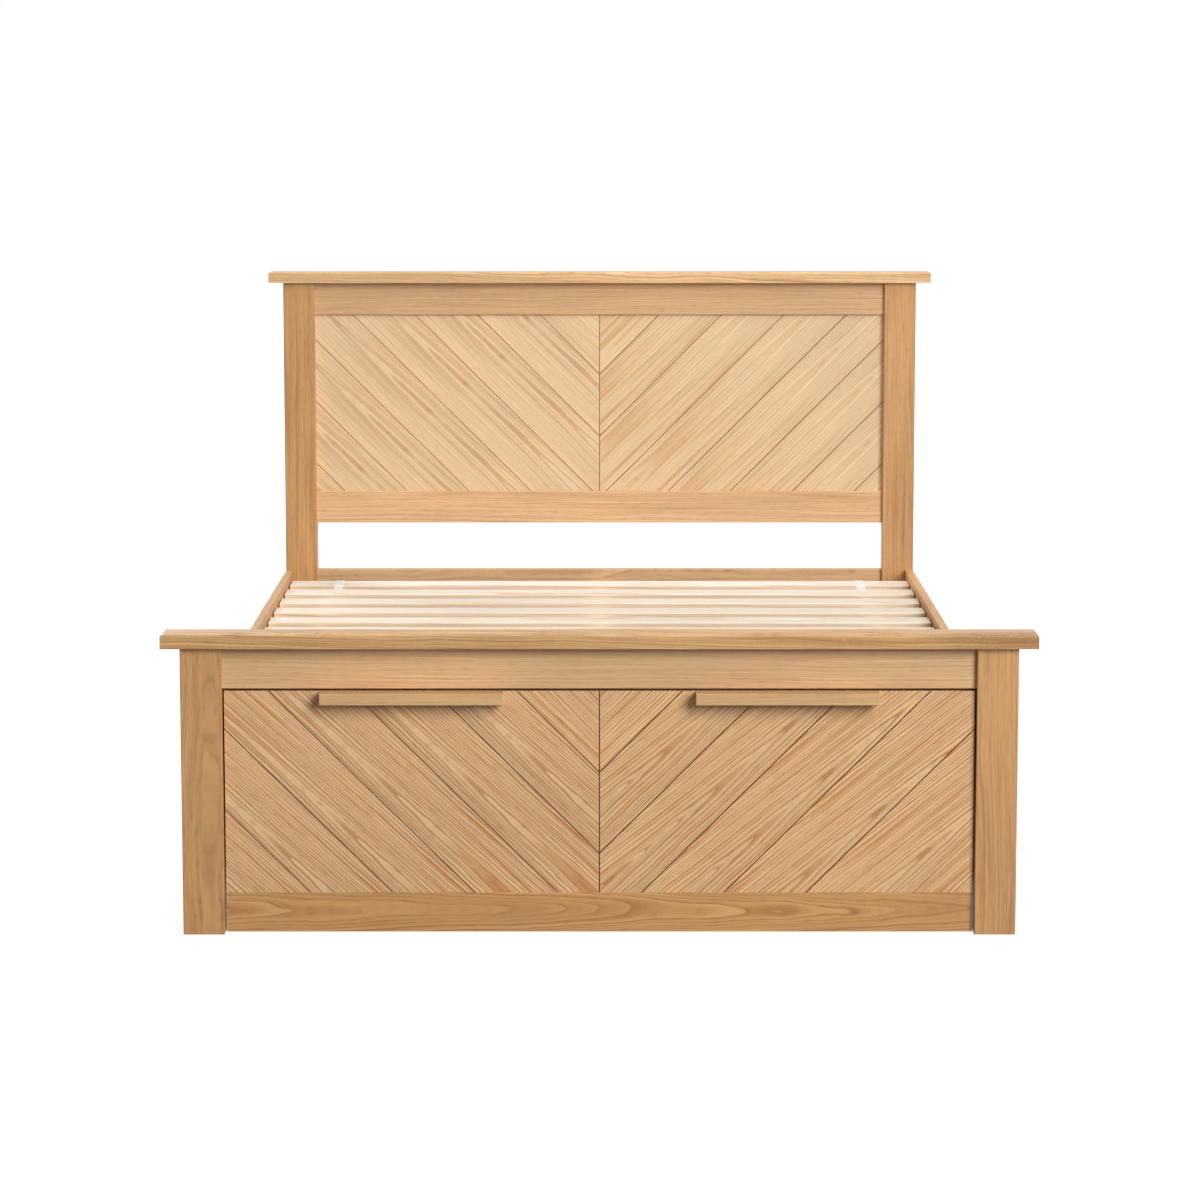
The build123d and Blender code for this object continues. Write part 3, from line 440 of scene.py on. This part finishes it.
def chevron(name, node, meet, figures, materials, seed, joints_out=0):
    """All planks of a panel as one piece; meet is the height where one joint crosses the centre line.

    The right half's lowest joints, as many as joints_out, are left out.
    """
    low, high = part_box(node)
    right = high.x
    step = PLANK_WIDE * math.sqrt(2)
    half_long = (high.z - low.z) / math.sqrt(2)
    lowest = low.z - right
    first = math.ceil((lowest + PLANK_LEAST - meet) / step)
    last = math.floor((high.z - PLANK_LEAST - meet) / step)
    joints = [meet + step * k for k in range(first, last + 1)]
    limits = [lowest - step, *joints, high.z + step]
    chance = random.Random(seed)
    panel = bmesh.new()
    panel.verts.layers.float_vector.new("grain")
    for side, figure in enumerate(figures):
        if side == 1:
            del limits[1 : 1 + joints_out]
        for number, (a, b) in enumerate(zip(limits, limits[1:])):
            bm = plank(a, b, PLANK_GAP / 2, right, low.z, high.z, low.y, high.y)
            grain = bm.verts.layers.float_vector.new("grain")
            slip = figure["start"] + figure["slip"] * number + chance.uniform(-1, 1) * figure["loose"]
            to_plank = Matrix.Rotation(math.pi / 4, 3, "Y")
            for v in bm.verts:
                x, y, z = to_plank @ (v.co - Vector((0, low.y, b - step / 2)))
                v[grain] = Vector((x + slip, z + figure["lean"] * (x - half_long), y))
            if side == 0:
                bmesh.ops.scale(bm, vec=(-1, 1, 1), verts=bm.verts)
                bmesh.ops.reverse_faces(bm, faces=bm.faces)
            for face in bm.faces:
                if face.material_index == 0:
                    face.material_index = side
            part = bpy.data.meshes.new(name)
            bm.to_mesh(part)
            bm.free()
            panel.from_mesh(part)
            bpy.data.meshes.remove(part)
    mesh = bpy.data.meshes.new(name)
    panel.to_mesh(mesh)
    panel.free()
    obj = bpy.data.objects.new(name, mesh)
    bpy.context.scene.collection.objects.link(obj)
    for material in materials:
        obj.data.materials.append(material)
    return obj


HEAD_OAK = {"dark": "#c39465", "middle": "#d9b991", "pale": "#e4c9a6", "streak": "#c59663"}
HEAD_MEET = 133.5 * MM
HEAD_CUT = {"taper": 0.012, "wander": 6 * MM, "ripple": 1.0 * MM, "ring": 4.0 * MM}
HEAD_CUT |= {"near": 26 * MM, "far": 0.5, "uneven": 1.8, "line": 0.36, "least": 0.35, "most": 1.0}
# The first plank's figure begins at start. Each next one moves along it by slip, give or take loose, and the
# figure leans across the planks.
HEAD_FIGURES = [
    {"start": 1.0, "slip": 0.11, "loose": 0.04, "lean": 0.02},
    {"start": 5.0, "slip": 0.09, "loose": 0.04, "lean": 0.02},
]
HEAD_LEFT_CUT = HEAD_CUT | {"heart": (22 * MM, 10 * MM)}
HEAD_RIGHT_CUT = HEAD_CUT | {"heart": (18 * MM, 12 * MM)}
head_veneers = [
    timber("pale oak veneer left", HEAD_OAK, HEAD_LEFT_CUT, pores=0.14, streak=0.5),
    timber("pale oak veneer right", HEAD_OAK, HEAD_RIGHT_CUT, pores=0.14, streak=0.8),
    # The V joints' colour is a painted shade, lighter here than on the drawer.
    timber("head V joint painted shade", dict.fromkeys(HEAD_OAK, "#a8764a"), HEAD_CUT | {"heart": (0, 0)}),
]
head_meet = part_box("head_top_rail")[0].z - HEAD_MEET
head_planks = chevron("head_planks", "head_chevron", head_meet, HEAD_FIGURES, head_veneers, 11)
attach(head_planks, "bed_frame")
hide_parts("head_chevron")

DRAWER_OAK = {"dark": "#a8672f", "middle": "#ddb07f", "pale": "#e6c296", "streak": "#b8773d"}
DRAWER_CUT = {"taper": 0.042, "wander": 6 * MM, "ripple": 1.5 * MM, "ring": 4.8 * MM}
DRAWER_CUT |= {"near": 40 * MM, "far": 0.85, "uneven": 1.3, "line": 0.45, "least": 0.55, "most": 1.0}
DRAWER_FIGURES = [
    {"start": 2.0, "slip": 0.16, "loose": 0.04, "lean": 0.03},
    {"start": 7.0, "slip": 0.10, "loose": 0.03, "lean": 0.07},
]
DRAWER_LEFT_CUT = DRAWER_CUT | {"heart": (-16 * MM, 7 * MM), "taper": 0.016}
DRAWER_RIGHT_CUT = DRAWER_CUT | {"heart": (-10 * MM, 6 * MM)}
drawer_veneers = [
    timber("oak veneer left", DRAWER_OAK, DRAWER_LEFT_CUT, pores=0.34, streak=0.9),
    timber("oak veneer right", DRAWER_OAK, DRAWER_RIGHT_CUT, pores=0.34, streak=0.8),
    # The V joints' colour is a dark painted shade.
    timber("drawer V joint painted shade", dict.fromkeys(DRAWER_OAK, "#6f3f12"), DRAWER_CUT | {"heart": (0, 0)}),
]
drawer_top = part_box("drawer_chevron")[1].z
drawer_planks = chevron(
    "drawer_planks", "drawer_chevron", drawer_top, DRAWER_FIGURES, drawer_veneers, 23, joints_out=1
)
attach(drawer_planks, "drawer")
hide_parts("drawer_chevron")


# Head back panel
# A sheet of oak-veneered board in the rails' grooves, behind the planks that are glued to it.
# Its veneer runs across the bed and is as pale as the planks.
cut_board(
    "head_back_panel", (1, 0, 0), (0, -1, 0), 3.7, HEAD_OAK, HEAD_CUT | {"heart": (30 * MM, 60 * MM)},
    kind="pale oak veneer", pores=0.14,
)


# Drawer rail and handles
# The rail under the drawer's planks is one flat-sawn oak board with a cathedral figure.
# Both bar handles are straight-grained oak, with a groove behind them for the fingertips.
DRAWER_RAIL_OAK = {"dark": "#8f5b29", "middle": "#c18e57", "pale": "#d2a56e", "streak": "#9d6732"}
DRAWER_RAIL_CUT = RAIL_CUT | {"heart": (4 * MM, 40 * MM), "taper": 0.03, "wander": 10 * MM, "ring": 4.4 * MM}
cut_board("drawer_bottom_rail", (1, 0, 0), (0, -1, 0), 3.3, DRAWER_RAIL_OAK, DRAWER_RAIL_CUT)
HANDLE_OAK = {"dark": "#bf935d", "middle": "#cfa676", "pale": "#d9b585", "streak": "#c4965c"}
HANDLE_CUT = RAIL_CUT | {"heart": (220 * MM, 60 * MM), "ring": 2.6 * MM}
for node, slide, shade in (("handle_left", 0.4, 1.0), ("handle_right", 6.6, 1.07)):
    cut_board(node, (1, 0, 0), (0, -1, 0), slide, HANDLE_OAK, HANDLE_CUT, shade=shade)


# Side rails
# Solid oak boards, 18 mm thick and 275 mm high, bolted to the corner brackets between the posts.
# Each is flat sawn, so its middle shows long arches and its edges close lines.
SIDE_CUT = RAIL_CUT | {"taper": 0.015, "wander": 14 * MM, "ring": 6.4 * MM}
# The rails' shades hold painted light: the right rail's inner face, turned away from the key lamp, is
# painted 12 % lighter, and the left one, which faces the lamp, 8 % darker.
SIDE_RAILS_PAINTED_LIGHT = {
    "side_rail_left": {"heart": (26 * MM, 70 * MM), "slide": 2.6, "shade": 0.92},
    "side_rail_right": {"heart": (-34 * MM, 84 * MM), "slide": 6.9, "shade": 1.12},
}
for node, side in SIDE_RAILS_PAINTED_LIGHT.items():
    cut = SIDE_CUT | {"heart": side["heart"]}
    cut_board(node, (0, 1, 0), (1, 0, 0), side["slide"], OAK, cut, shade=side["shade"])


# Slatted base
# Fifteen planed pine slats lie on pine ledgers and on a centre rail with two legs. The wood is bare, so
# its pale early wood and thin orange late wood show, and each slat comes from another part of the tree.
PINE = {"dark": "#cc9b6c", "middle": "#ebe1d2", "pale": "#f5f1ea", "streak": "#e3c8a8"}
# The slats' front and back edges get a painted shade, darker and warmer than their tops.
PINE_EDGE_SHADE = "#f6e6d2"
PINE_CUT = {"taper": 0.012, "wander": 7 * MM, "ripple": 0.4 * MM, "ring": 6.5 * MM}
PINE_CUT |= {"near": 60 * MM, "far": 0.8, "uneven": 1.4, "line": 0.26, "least": 0.1, "most": 0.8}
PINE_LOOKS = {"kind": "planed pine", "pores": 0.0, "fibre": 0.04, "cloud": 0.04}
slats = sorted(node for node in nodes if node.startswith("slat_") and node[-1].isdigit())
chance = random.Random(31)
for node in slats:
    heart = (chance.uniform(-45, 45) * MM, chance.uniform(20, 70) * MM)
    cut = PINE_CUT | {"heart": heart}
    slide = chance.uniform(0, 20)
    cut_board(node, (1, 0, 0), (0, 0, -1), slide, PINE, cut, edge=PINE_EDGE_SHADE, streak=0.4, **PINE_LOOKS)
PINE_FRAME = {
    "slat_ledger_left": (0, 1, 0),
    "slat_ledger_right": (0, 1, 0),
    "centre_rail": (0, 1, 0),
    "centre_legs": (0, 0, 1),
    "foot_inner_panel": (1, 0, 0),
}
PINE_FRAME_CUT = PINE_CUT | {"heart": (30 * MM, 50 * MM)}
PINE_FRAME_STEP = 1.7
for number, (node, along) in enumerate(PINE_FRAME.items()):
    deep = (0, 1, 0) if node in ("centre_legs", "foot_inner_panel") else (1, 0, 0)
    slide = PINE_FRAME_STEP * number
    cut_board(node, along, deep, slide, PINE, PINE_FRAME_CUT, shade=0.94, **PINE_LOOKS)


# Slat straps
# Two white polypropylene webbing bands, 20 mm wide, run under all the slats and keep them apart.
# They are folded right round the first and last slat and sag a little between the others.
# The first colour is a painted shade for the weave's hollows, the second the yarn's own white.
WEBBING_HOLLOW_SHADE_AND_TOP = ("#d6d3cb", "#f4f2ec")
STRAP_WIDE = 20 * MM
STRAP_THICK = 1 * MM
STRAP_TAIL = 10 * MM
STRAP_SAG = 1.5 * MM
STRAP_YARN = 2.5 * MM
YARN_HIGH = 0.4 * MM
FOLD_RADIUS = 3.5 * MM
FOLD_STEPS = 5
SAG_STEPS = 6


def strap_path():
    """The band's middle line as (y, z), from its end behind the first slat to the one before the last."""
    first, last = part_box(slats[0]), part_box(slats[-1])
    half = STRAP_THICK / 2
    under = first[0].z - half + FOLD_RADIUS
    over = first[1].z + half - FOLD_RADIUS
    end = first[1].z - STRAP_TAIL
    path = [(first[1].y + half, end)]
    folds = [
        (first[1].y + half - FOLD_RADIUS, over),
        (first[0].y - half + FOLD_RADIUS, over),
        (first[0].y - half + FOLD_RADIUS, under),
        (last[1].y + half - FOLD_RADIUS, under),
        (last[1].y + half - FOLD_RADIUS, over),
        (last[0].y - half + FOLD_RADIUS, over),
    ]
    for number, (y, z) in enumerate(folds):
        if number == len(folds) // 2:
            for before, after in zip(slats, slats[1:]):
                leaves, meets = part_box(before)[1].y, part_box(after)[0].y
                for step in range(SAG_STEPS + 1):
                    share = step / SAG_STEPS
                    drop = 4 * share * (1 - share) * STRAP_SAG
                    path.append((leaves + share * (meets - leaves), under - FOLD_RADIUS - drop))
        for step in range(FOLD_STEPS + 1):
            angle = math.radians(90 * (number + step / FOLD_STEPS))
            path.append((y + FOLD_RADIUS * math.cos(angle), z + FOLD_RADIUS * math.sin(angle)))
    path.append((last[0].y - half, end))
    return path


def strap(name, low_x, high_x, path):
    """A band that follows the path; its "weave" attribute holds the place across and along it."""
    bm = bmesh.new()
    weave = bm.verts.layers.float_vector.new("weave")
    edge = bm.edges.new([bm.verts.new((x, *path[0])) for x in (low_x, high_x)])
    for v in edge.verts:
        v[weave] = (v.co.x, 0, 0)
    run = 0
    for (y0, z0), (y1, z1) in zip(path, path[1:]):
        run += math.hypot(y1 - y0, z1 - z0)
        made = bmesh.ops.extrude_edge_only(bm, edges=[edge])["geom"]
        verts = [g for g in made if isinstance(g, bmesh.types.BMVert)]
        edge = next(g for g in made if isinstance(g, bmesh.types.BMEdge) and set(g.verts) == set(verts))
        bmesh.ops.translate(bm, vec=(0, y1 - y0, z1 - z0), verts=verts)
        for v in verts:
            v[weave] = (v.co.x, run, 0)
    bmesh.ops.recalc_face_normals(bm, faces=bm.faces)
    mesh = bpy.data.meshes.new(name)
    bm.to_mesh(mesh)
    bm.free()
    obj = bpy.data.objects.new(name, mesh)
    bpy.context.scene.collection.objects.link(obj)
    thicken = obj.modifiers.new("thickness", "SOLIDIFY")
    thicken.thickness = STRAP_THICK
    thicken.offset = 0
    return obj, run


webbing = bpy.data.materials.new("polypropylene webbing")
webbing.use_nodes = True
tree = webbing.node_tree
tree.nodes.clear()
spot = add(tree, "Attribute", attribute_name="weave").outputs["Vector"]
# White flat yarns in a plain weave, drawn 2.5 mm wide so that they show.
parts = add(tree, "SeparateXYZ", {0: spot}).outputs
turns = [add(tree, "Math", {0: part, 1: math.pi / STRAP_YARN}, operation="MULTIPLY") for part in parts[:2]]
warp, weft = (add(tree, "Math", {0: turn}, operation="SINE") for turn in turns)
woven = add(tree, "Math", {0: warp, 1: weft}, operation="MULTIPLY")
height = add(tree, "MapRange", {0: woven, 1: -1, 2: 1, 3: 0, 4: 1})
# Where the weave dips the white is painted darker, as painted shade.
tones = {0: height, 6: linear(WEBBING_HOLLOW_SHADE_AND_TOP[0]), 7: linear(WEBBING_HOLLOW_SHADE_AND_TOP[1])}
colour = add(tree, "Mix", tones, data_type="RGBA").outputs[2]
bump = add(tree, "Bump", {"Height": height, "Strength": 0.6, "Distance": YARN_HIGH})
surface = {"Base Color": colour, "Roughness": 0.55, "IOR": 1.49, "Normal": bump}
add(tree, "OutputMaterial", {"Surface": add(tree, "BsdfPrincipled", surface)})

strap_low, strap_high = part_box("slat_straps")
path = strap_path()
for side, low_x in (("left", strap_low.x), ("right", strap_high.x - STRAP_WIDE)):
    band, band_long = strap(f"slat_strap_{side}", low_x, low_x + STRAP_WIDE, path)
    band.data.materials.append(webbing)
    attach(band, "bed_frame")
    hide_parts("slat_straps")


# Steel
# Zinc-plated steel: pressed corner brackets and hangers, socket bolts, countersunk screws and the castors'
# forks and rivets. The plating is bright but a little cloudy, with fine marks from the tumbling drum.
ZINC = ("#a9adb0", "#c9cccd")
ZINC_CLOUD = 9 * MM
ZINC_MARK = 1.2 * MM
ZINC_MARK_DEEP = 0.1 * MM
ZINC_ROUGH = (0.26, 0.44)
MOTTLE_SPAN = (0.35, 0.65)
zinc = bpy.data.materials.new("zinc plated steel")
zinc.use_nodes = True
tree = zinc.node_tree
tree.nodes.clear()
spot = add(tree, "TexCoord").outputs["Object"]
cloud = add(tree, "TexNoise", {"Vector": spot, "Scale": 1 / ZINC_CLOUD, "Detail": 3.0})
mark = add(tree, "TexNoise", {"Vector": spot, "Scale": 1 / ZINC_MARK, "Detail": 1.0})
cloudy = add(tree, "MapRange", {0: cloud, 1: MOTTLE_SPAN[0], 2: MOTTLE_SPAN[1], 3: 0, 4: 1})
tones = {0: cloudy, 6: linear(ZINC[0]), 7: linear(ZINC[1])}
colour = add(tree, "Mix", tones, data_type="RGBA").outputs[2]
spread = {0: cloud, 1: NOISE_SPAN[0], 2: NOISE_SPAN[1], 3: ZINC_ROUGH[0], 4: ZINC_ROUGH[1]}
rough = add(tree, "MapRange", spread)
bump = add(tree, "Bump", {"Height": mark, "Strength": 0.15, "Distance": ZINC_MARK_DEEP})
surface = {"Base Color": colour, "Metallic": 1.0, "Roughness": rough, "Normal": bump}
add(tree, "OutputMaterial", {"Surface": add(tree, "BsdfPrincipled", surface)})
STEEL = [
    "corner_brackets", "corner_bolts", "frame_screws", "centre_rail_hangers", "handle_screws",
    "castor_forks", "castor_axles", "castor_screws",
]
for node in STEEL:
    dress(node, zinc)


# Strap staples
# Steel wire staples, 12 mm wide, one under every slat through each band and one on each folded end.
STAPLE_WIDE = 12 * MM
STAPLE_WIRE = 1.2 * MM
STAPLE_THICK = 0.6 * MM
STAPLE_LEG = 5 * MM
STAPLE_ROUND = 0.15 * MM
STAPLE_PARTS = [
    (0, STAPLE_WIDE, STAPLE_THICK),
    (-1, STAPLE_THICK, STAPLE_LEG),
    (1, STAPLE_THICK, STAPLE_LEG),
]
staple = bmesh.new()
for x, wide, high in STAPLE_PARTS:
    verts = bmesh.ops.create_cube(staple, size=1)["verts"]
    bmesh.ops.scale(staple, vec=(wide, STAPLE_WIRE, high), verts=verts)
    bmesh.ops.translate(staple, vec=(x * (STAPLE_WIDE - STAPLE_THICK) / 2, 0, high / 2), verts=verts)
bmesh.ops.bevel(
    staple, geom=staple.edges[:], offset=STAPLE_ROUND, offset_type="OFFSET", segments=1, profile=0.5,
    affect="EDGES", clamp_overlap=True, material=-1,
)
staple_mesh = bpy.data.meshes.new("staple")
staple.to_mesh(staple_mesh)
staple.free()
all_staples = bmesh.new()
for x in (strap_low.x + STRAP_WIDE / 2, strap_high.x - STRAP_WIDE / 2):
    places = [(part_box(node)[0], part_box(node)[1], False) for node in slats]
    places += [(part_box(node)[0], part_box(node)[1], True) for node in (slats[0], slats[-1])]
    for low, high, above in places:
        kept = set(all_staples.verts)
        all_staples.from_mesh(staple_mesh)
        verts = [v for v in all_staples.verts if v not in kept]
        if above:
            bmesh.ops.rotate(all_staples, matrix=Matrix.Rotation(math.pi, 3, "X"), verts=verts)
            spot = (x, (low.y + high.y) / 2, high.z + STRAP_THICK + STAPLE_THICK / 2)
        else:
            spot = (x, (low.y + high.y) / 2, low.z - STRAP_THICK - STAPLE_THICK / 2)
        bmesh.ops.translate(all_staples, vec=spot, verts=verts)
mesh = bpy.data.meshes.new("strap_staples")
all_staples.to_mesh(mesh)
all_staples.free()
staples = bpy.data.objects.new("strap_staples", mesh)
bpy.context.scene.collection.objects.link(staples)
staples.data.materials.append(zinc)
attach(staples, "bed_frame")


# Drawer box
# Birch plywood sides, back, base, divider and the board behind the planks, lacquered clear.
# The faces are rotary cut with a faint broad figure, and every edge shows the crossed plies.
BIRCH = ("#d6b384", "#e6cda4")
BIRCH_EDGE = ("#9a6c3e", "#dcbd8e")
FIGURE_LONG = 260 * MM
FIGURE_WIDE = 34 * MM
HAIR_LONG = 40 * MM
HAIR_WIDE = 1.6 * MM
HAIR_SHADES = (0.95, 1.04)
HAIR_HIGH = 0.3 * MM
LACQUER_ROUGH = (0.45, 0.36)
PLY_THICK = 1.5 * MM
FACE_LEAST = 0.7


def plywood(node, along, deep):
    """Dress a board whose face grain runs along; deep is the direction of its thickness."""
    low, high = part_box(node)
    thick = abs((high - low).dot(Vector(deep)))
    plies = 2 * round(thick / PLY_THICK / 2) + 1
    turn, place = board_frame(along, deep, node, thick)
    material = bpy.data.materials.new(f"birch plywood {node}")
    material.use_nodes = True
    tree = material.node_tree
    tree.nodes.clear()
    where = add(tree, "TexCoord").outputs
    spot = add(tree, "Mapping", {"Vector": where["Object"], "Rotation": turn, "Location": place})
    figure = {0: spot, 1: (1 / FIGURE_LONG, 1 / FIGURE_WIDE, 0)}
    broad = add(tree, "VectorMath", figure, operation="MULTIPLY")
    broad = add(tree, "TexNoise", {"Vector": broad, "Scale": 1.0, "Detail": 3.0, "Distortion": 0.6})
    hairs = {0: spot, 1: (1 / HAIR_LONG, 1 / HAIR_WIDE, 1 / HAIR_WIDE)}
    hair = add(tree, "VectorMath", hairs, operation="MULTIPLY")
    hair = add(tree, "TexNoise", {"Vector": hair, "Scale": 1.0, "Detail": 1.0})
    share = add(tree, "MapRange", {0: broad, 1: MOTTLE_SPAN[0], 2: MOTTLE_SPAN[1], 3: 0, 4: 1})
    tones = {0: share, 6: linear(BIRCH[0]), 7: linear(BIRCH[1])}
    face = add(tree, "Mix", tones, data_type="RGBA").outputs[2]
    depth = add(tree, "SeparateXYZ", {0: spot}).outputs["Z"]
    ply = add(tree, "Math", {0: depth, 1: plies / thick, 2: plies / 2}, operation="MULTIPLY_ADD")
    ply = add(tree, "Math", {0: ply}, operation="FLOOR")
    odd = add(tree, "Math", {0: ply, 1: 2.0}, operation="FLOORED_MODULO")
    tones = {0: odd, 6: linear(BIRCH_EDGE[1]), 7: linear(BIRCH_EDGE[0])}
    edge = add(tree, "Mix", tones, data_type="RGBA").outputs[2]
    facing = add(tree, "VectorMath", {0: where["Normal"], 1: deep}, operation="DOT_PRODUCT").outputs["Value"]
    facing = add(tree, "Math", {0: facing}, operation="ABSOLUTE")
    facing = add(tree, "Math", {0: facing, 1: FACE_LEAST}, operation="GREATER_THAN")
    colour = add(tree, "Mix", {0: facing, 6: edge, 7: face}, data_type="RGBA").outputs[2]
    spread = {0: hair, 1: NOISE_SPAN[0], 2: NOISE_SPAN[1], 3: HAIR_SHADES[0], 4: HAIR_SHADES[1]}
    value = add(tree, "MapRange", spread)
    colour = add(tree, "VectorMath", {0: colour, "Scale": value}, operation="SCALE")
    spread = {0: hair, 1: NOISE_SPAN[0], 2: NOISE_SPAN[1], 3: LACQUER_ROUGH[0], 4: LACQUER_ROUGH[1]}
    rough = add(tree, "MapRange", spread)
    bump = add(tree, "Bump", {"Height": value, "Strength": 0.2, "Distance": HAIR_HIGH})
    surface = {"Base Color": colour, "Roughness": rough, "IOR": 1.5, "Normal": bump}
    add(tree, "OutputMaterial", {"Surface": add(tree, "BsdfPrincipled", surface)})
    dress(node, material)


plywood("drawer_backing", (1, 0, 0), (0, 1, 0))
plywood("drawer_back", (1, 0, 0), (0, 1, 0))
plywood("drawer_base", (1, 0, 0), (0, 0, 1))
plywood("drawer_divider", (0, 1, 0), (1, 0, 0))
plywood("drawer_side_left", (0, 1, 0), (1, 0, 0))
plywood("drawer_side_right", (0, 1, 0), (1, 0, 0))


# Castors
# Each wheel is a moulded nylon hub with eight ribs a side, and a soft rubber tyre with two shallow grooves.
# It turns on a steel rivet between the cheeks of its fork.
WHEEL_RADIUS = 25 * MM
TYRE_INNER = 19.5 * MM
TYRE_HALF = 9 * MM
TYRE_ROUND = 3 * MM
TYRE_BOW = 0.9 * MM
GROOVE_AT = 3 * MM
GROOVE_HALF = 0.6 * MM
GROOVE_DEEP = 0.8 * MM
BORE = 4.06 * MM
BOSS_RADIUS = 9 * MM
BOSS_HALF = 10 * MM
BOSS_ROUND = 0.6 * MM
WEB_HALF = 4 * MM
RIM_INNER = 17.5 * MM
RIM_HALF = 8.4 * MM
RIB_COUNT = 8
RIB_THICK = 1.8 * MM
RIB_SUNK = 0.4 * MM
RIB_SPARE = 1 * MM
WHEEL_STEPS = 64
FLOW_WIDE = 14 * MM
GRIT_HIGH = 0.15 * MM
GRIT_ROUGH = 0.06


def turned(profile):
    """A ring as a bmesh: a closed profile of (x, radius) points spun round the X axis."""
    bm = bmesh.new()
    verts = [bm.verts.new((x, 0, r)) for x, r in profile]
    edges = [bm.edges.new(pair) for pair in zip(verts, verts[1:] + verts[:1])]
    bmesh.ops.spin(
        bm, geom=verts + edges, cent=(0, 0, 0), axis=(1, 0, 0), dvec=(0, 0, 0),
        angle=2 * math.pi, steps=WHEEL_STEPS, use_merge=True,
    )
    bmesh.ops.recalc_face_normals(bm, faces=bm.faces)
    return bm


def moulded(name, hexes, grit, rough):
    """A moulded plastic or rubber with faint flow clouds and a fine grit, drawn coarse enough to show."""
    material = bpy.data.materials.new(name)
    material.use_nodes = True
    tree = material.node_tree
    tree.nodes.clear()
    spot = add(tree, "TexCoord").outputs["Object"]
    flow = add(tree, "TexNoise", {"Vector": spot, "Scale": 1 / FLOW_WIDE, "Detail": 2.0})
    fine = add(tree, "TexNoise", {"Vector": spot, "Scale": 1 / grit, "Detail": 1.0})
    share = add(tree, "MapRange", {0: flow, 1: MOTTLE_SPAN[0], 2: MOTTLE_SPAN[1], 3: 0, 4: 1})
    tones = {0: share, 6: linear(hexes[0]), 7: linear(hexes[1])}
    colour = add(tree, "Mix", tones, data_type="RGBA").outputs[2]
    spread = {0: fine, 1: NOISE_SPAN[0], 2: NOISE_SPAN[1], 3: rough - GRIT_ROUGH, 4: rough + GRIT_ROUGH}
    gloss = add(tree, "MapRange", spread)
    bump = add(tree, "Bump", {"Height": fine, "Strength": 0.3, "Distance": GRIT_HIGH})
    surface = {"Base Color": colour, "Roughness": gloss, "IOR": 1.5, "Normal": bump}
    add(tree, "OutputMaterial", {"Surface": add(tree, "BsdfPrincipled", surface)})
    return material


nylon = moulded("moulded nylon", ("#2b2b2d", "#343437"), 0.8 * MM, 0.42)
tyre_rubber = moulded("castor tyre rubber", ("#55565a", "#5f6064"), 1.2 * MM, 0.7)
tyre_profile = [
    (-TYRE_HALF, TYRE_INNER),
    (-TYRE_HALF, WHEEL_RADIUS - TYRE_ROUND),
    (-TYRE_HALF + TYRE_BOW, WHEEL_RADIUS - TYRE_BOW),
    (-TYRE_HALF + TYRE_ROUND, WHEEL_RADIUS),
    (-GROOVE_AT - GROOVE_HALF, WHEEL_RADIUS),
    (-GROOVE_AT, WHEEL_RADIUS - GROOVE_DEEP),
    (-GROOVE_AT + GROOVE_HALF, WHEEL_RADIUS),
]
tyre_profile += [(-x, r) for x, r in reversed(tyre_profile)]
hub_profile = [
    (-BOSS_HALF, BORE),
    (-BOSS_HALF, BOSS_RADIUS - BOSS_ROUND),
    (-BOSS_HALF + BOSS_ROUND, BOSS_RADIUS),
    (-WEB_HALF, BOSS_RADIUS),
    (-WEB_HALF, RIM_INNER),
    (-RIM_HALF, RIM_INNER),
    (-RIM_HALF, TYRE_INNER),
]
hub_profile += [(-x, r) for x, r in reversed(hub_profile)]
tyre_mesh = bpy.data.meshes.new("tyre")
tyre = turned(tyre_profile)
tyre.to_mesh(tyre_mesh)
tyre.free()
hub = turned(hub_profile)
for number in range(2 * RIB_COUNT):
    side = 1 if number % 2 else -1
    verts = bmesh.ops.create_cube(hub, size=1)["verts"]
    deep = RIM_HALF - WEB_HALF
    bmesh.ops.scale(hub, vec=(deep, RIB_THICK, RIM_INNER - BOSS_RADIUS + RIB_SPARE), verts=verts)
    middle = (side * (WEB_HALF + deep / 2 - RIB_SUNK), 0, (RIM_INNER + BOSS_RADIUS) / 2)
    bmesh.ops.translate(hub, vec=middle, verts=verts)
    turn = Matrix.Rotation(math.pi * (number - number % 2) / RIB_COUNT, 3, "X")
    bmesh.ops.rotate(hub, matrix=turn, verts=verts)
hub_mesh = bpy.data.meshes.new("hub")
hub.to_mesh(hub_mesh)
hub.free()
for wheel in sorted(node for node in nodes if node.startswith("castor_wheel_")):
    low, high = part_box(wheel)
    centre = (low + high) / 2
    place = wheel.removeprefix("castor_wheel_")
    for piece, source, material in (("tyre", tyre_mesh, tyre_rubber), ("hub", hub_mesh, nylon)):
        mesh = source.copy()
        mesh.transform(Matrix.Translation(centre))
        obj = bpy.data.objects.new(f"castor_{piece}_{place}", mesh)
        bpy.context.scene.collection.objects.link(obj)
        obj.data.materials.append(material)
        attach(obj, wheel)
        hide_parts(wheel)


# Small parts
# Beech dowels between caps and posts, as straight in the grain as the handles, black polypropylene glides
# under the legs, and grey rubber buffers that the drawer closes on.
BEECH = {"dark": "#b98a5a", "middle": "#cfa476", "pale": "#dab58a", "streak": "#bd8f60"}
cut_board("cap_dowels", (0, 0, 1), (0, 1, 0), 0, BEECH, HANDLE_CUT, kind="turned beech")
dress("leg_glides", moulded("moulded polypropylene", ("#1a1a1b", "#222224"), 0.8 * MM, 0.5))
dress("drawer_buffers", moulded("buffer rubber", ("#8b8a86", "#979692"), 1.0 * MM, 0.75))
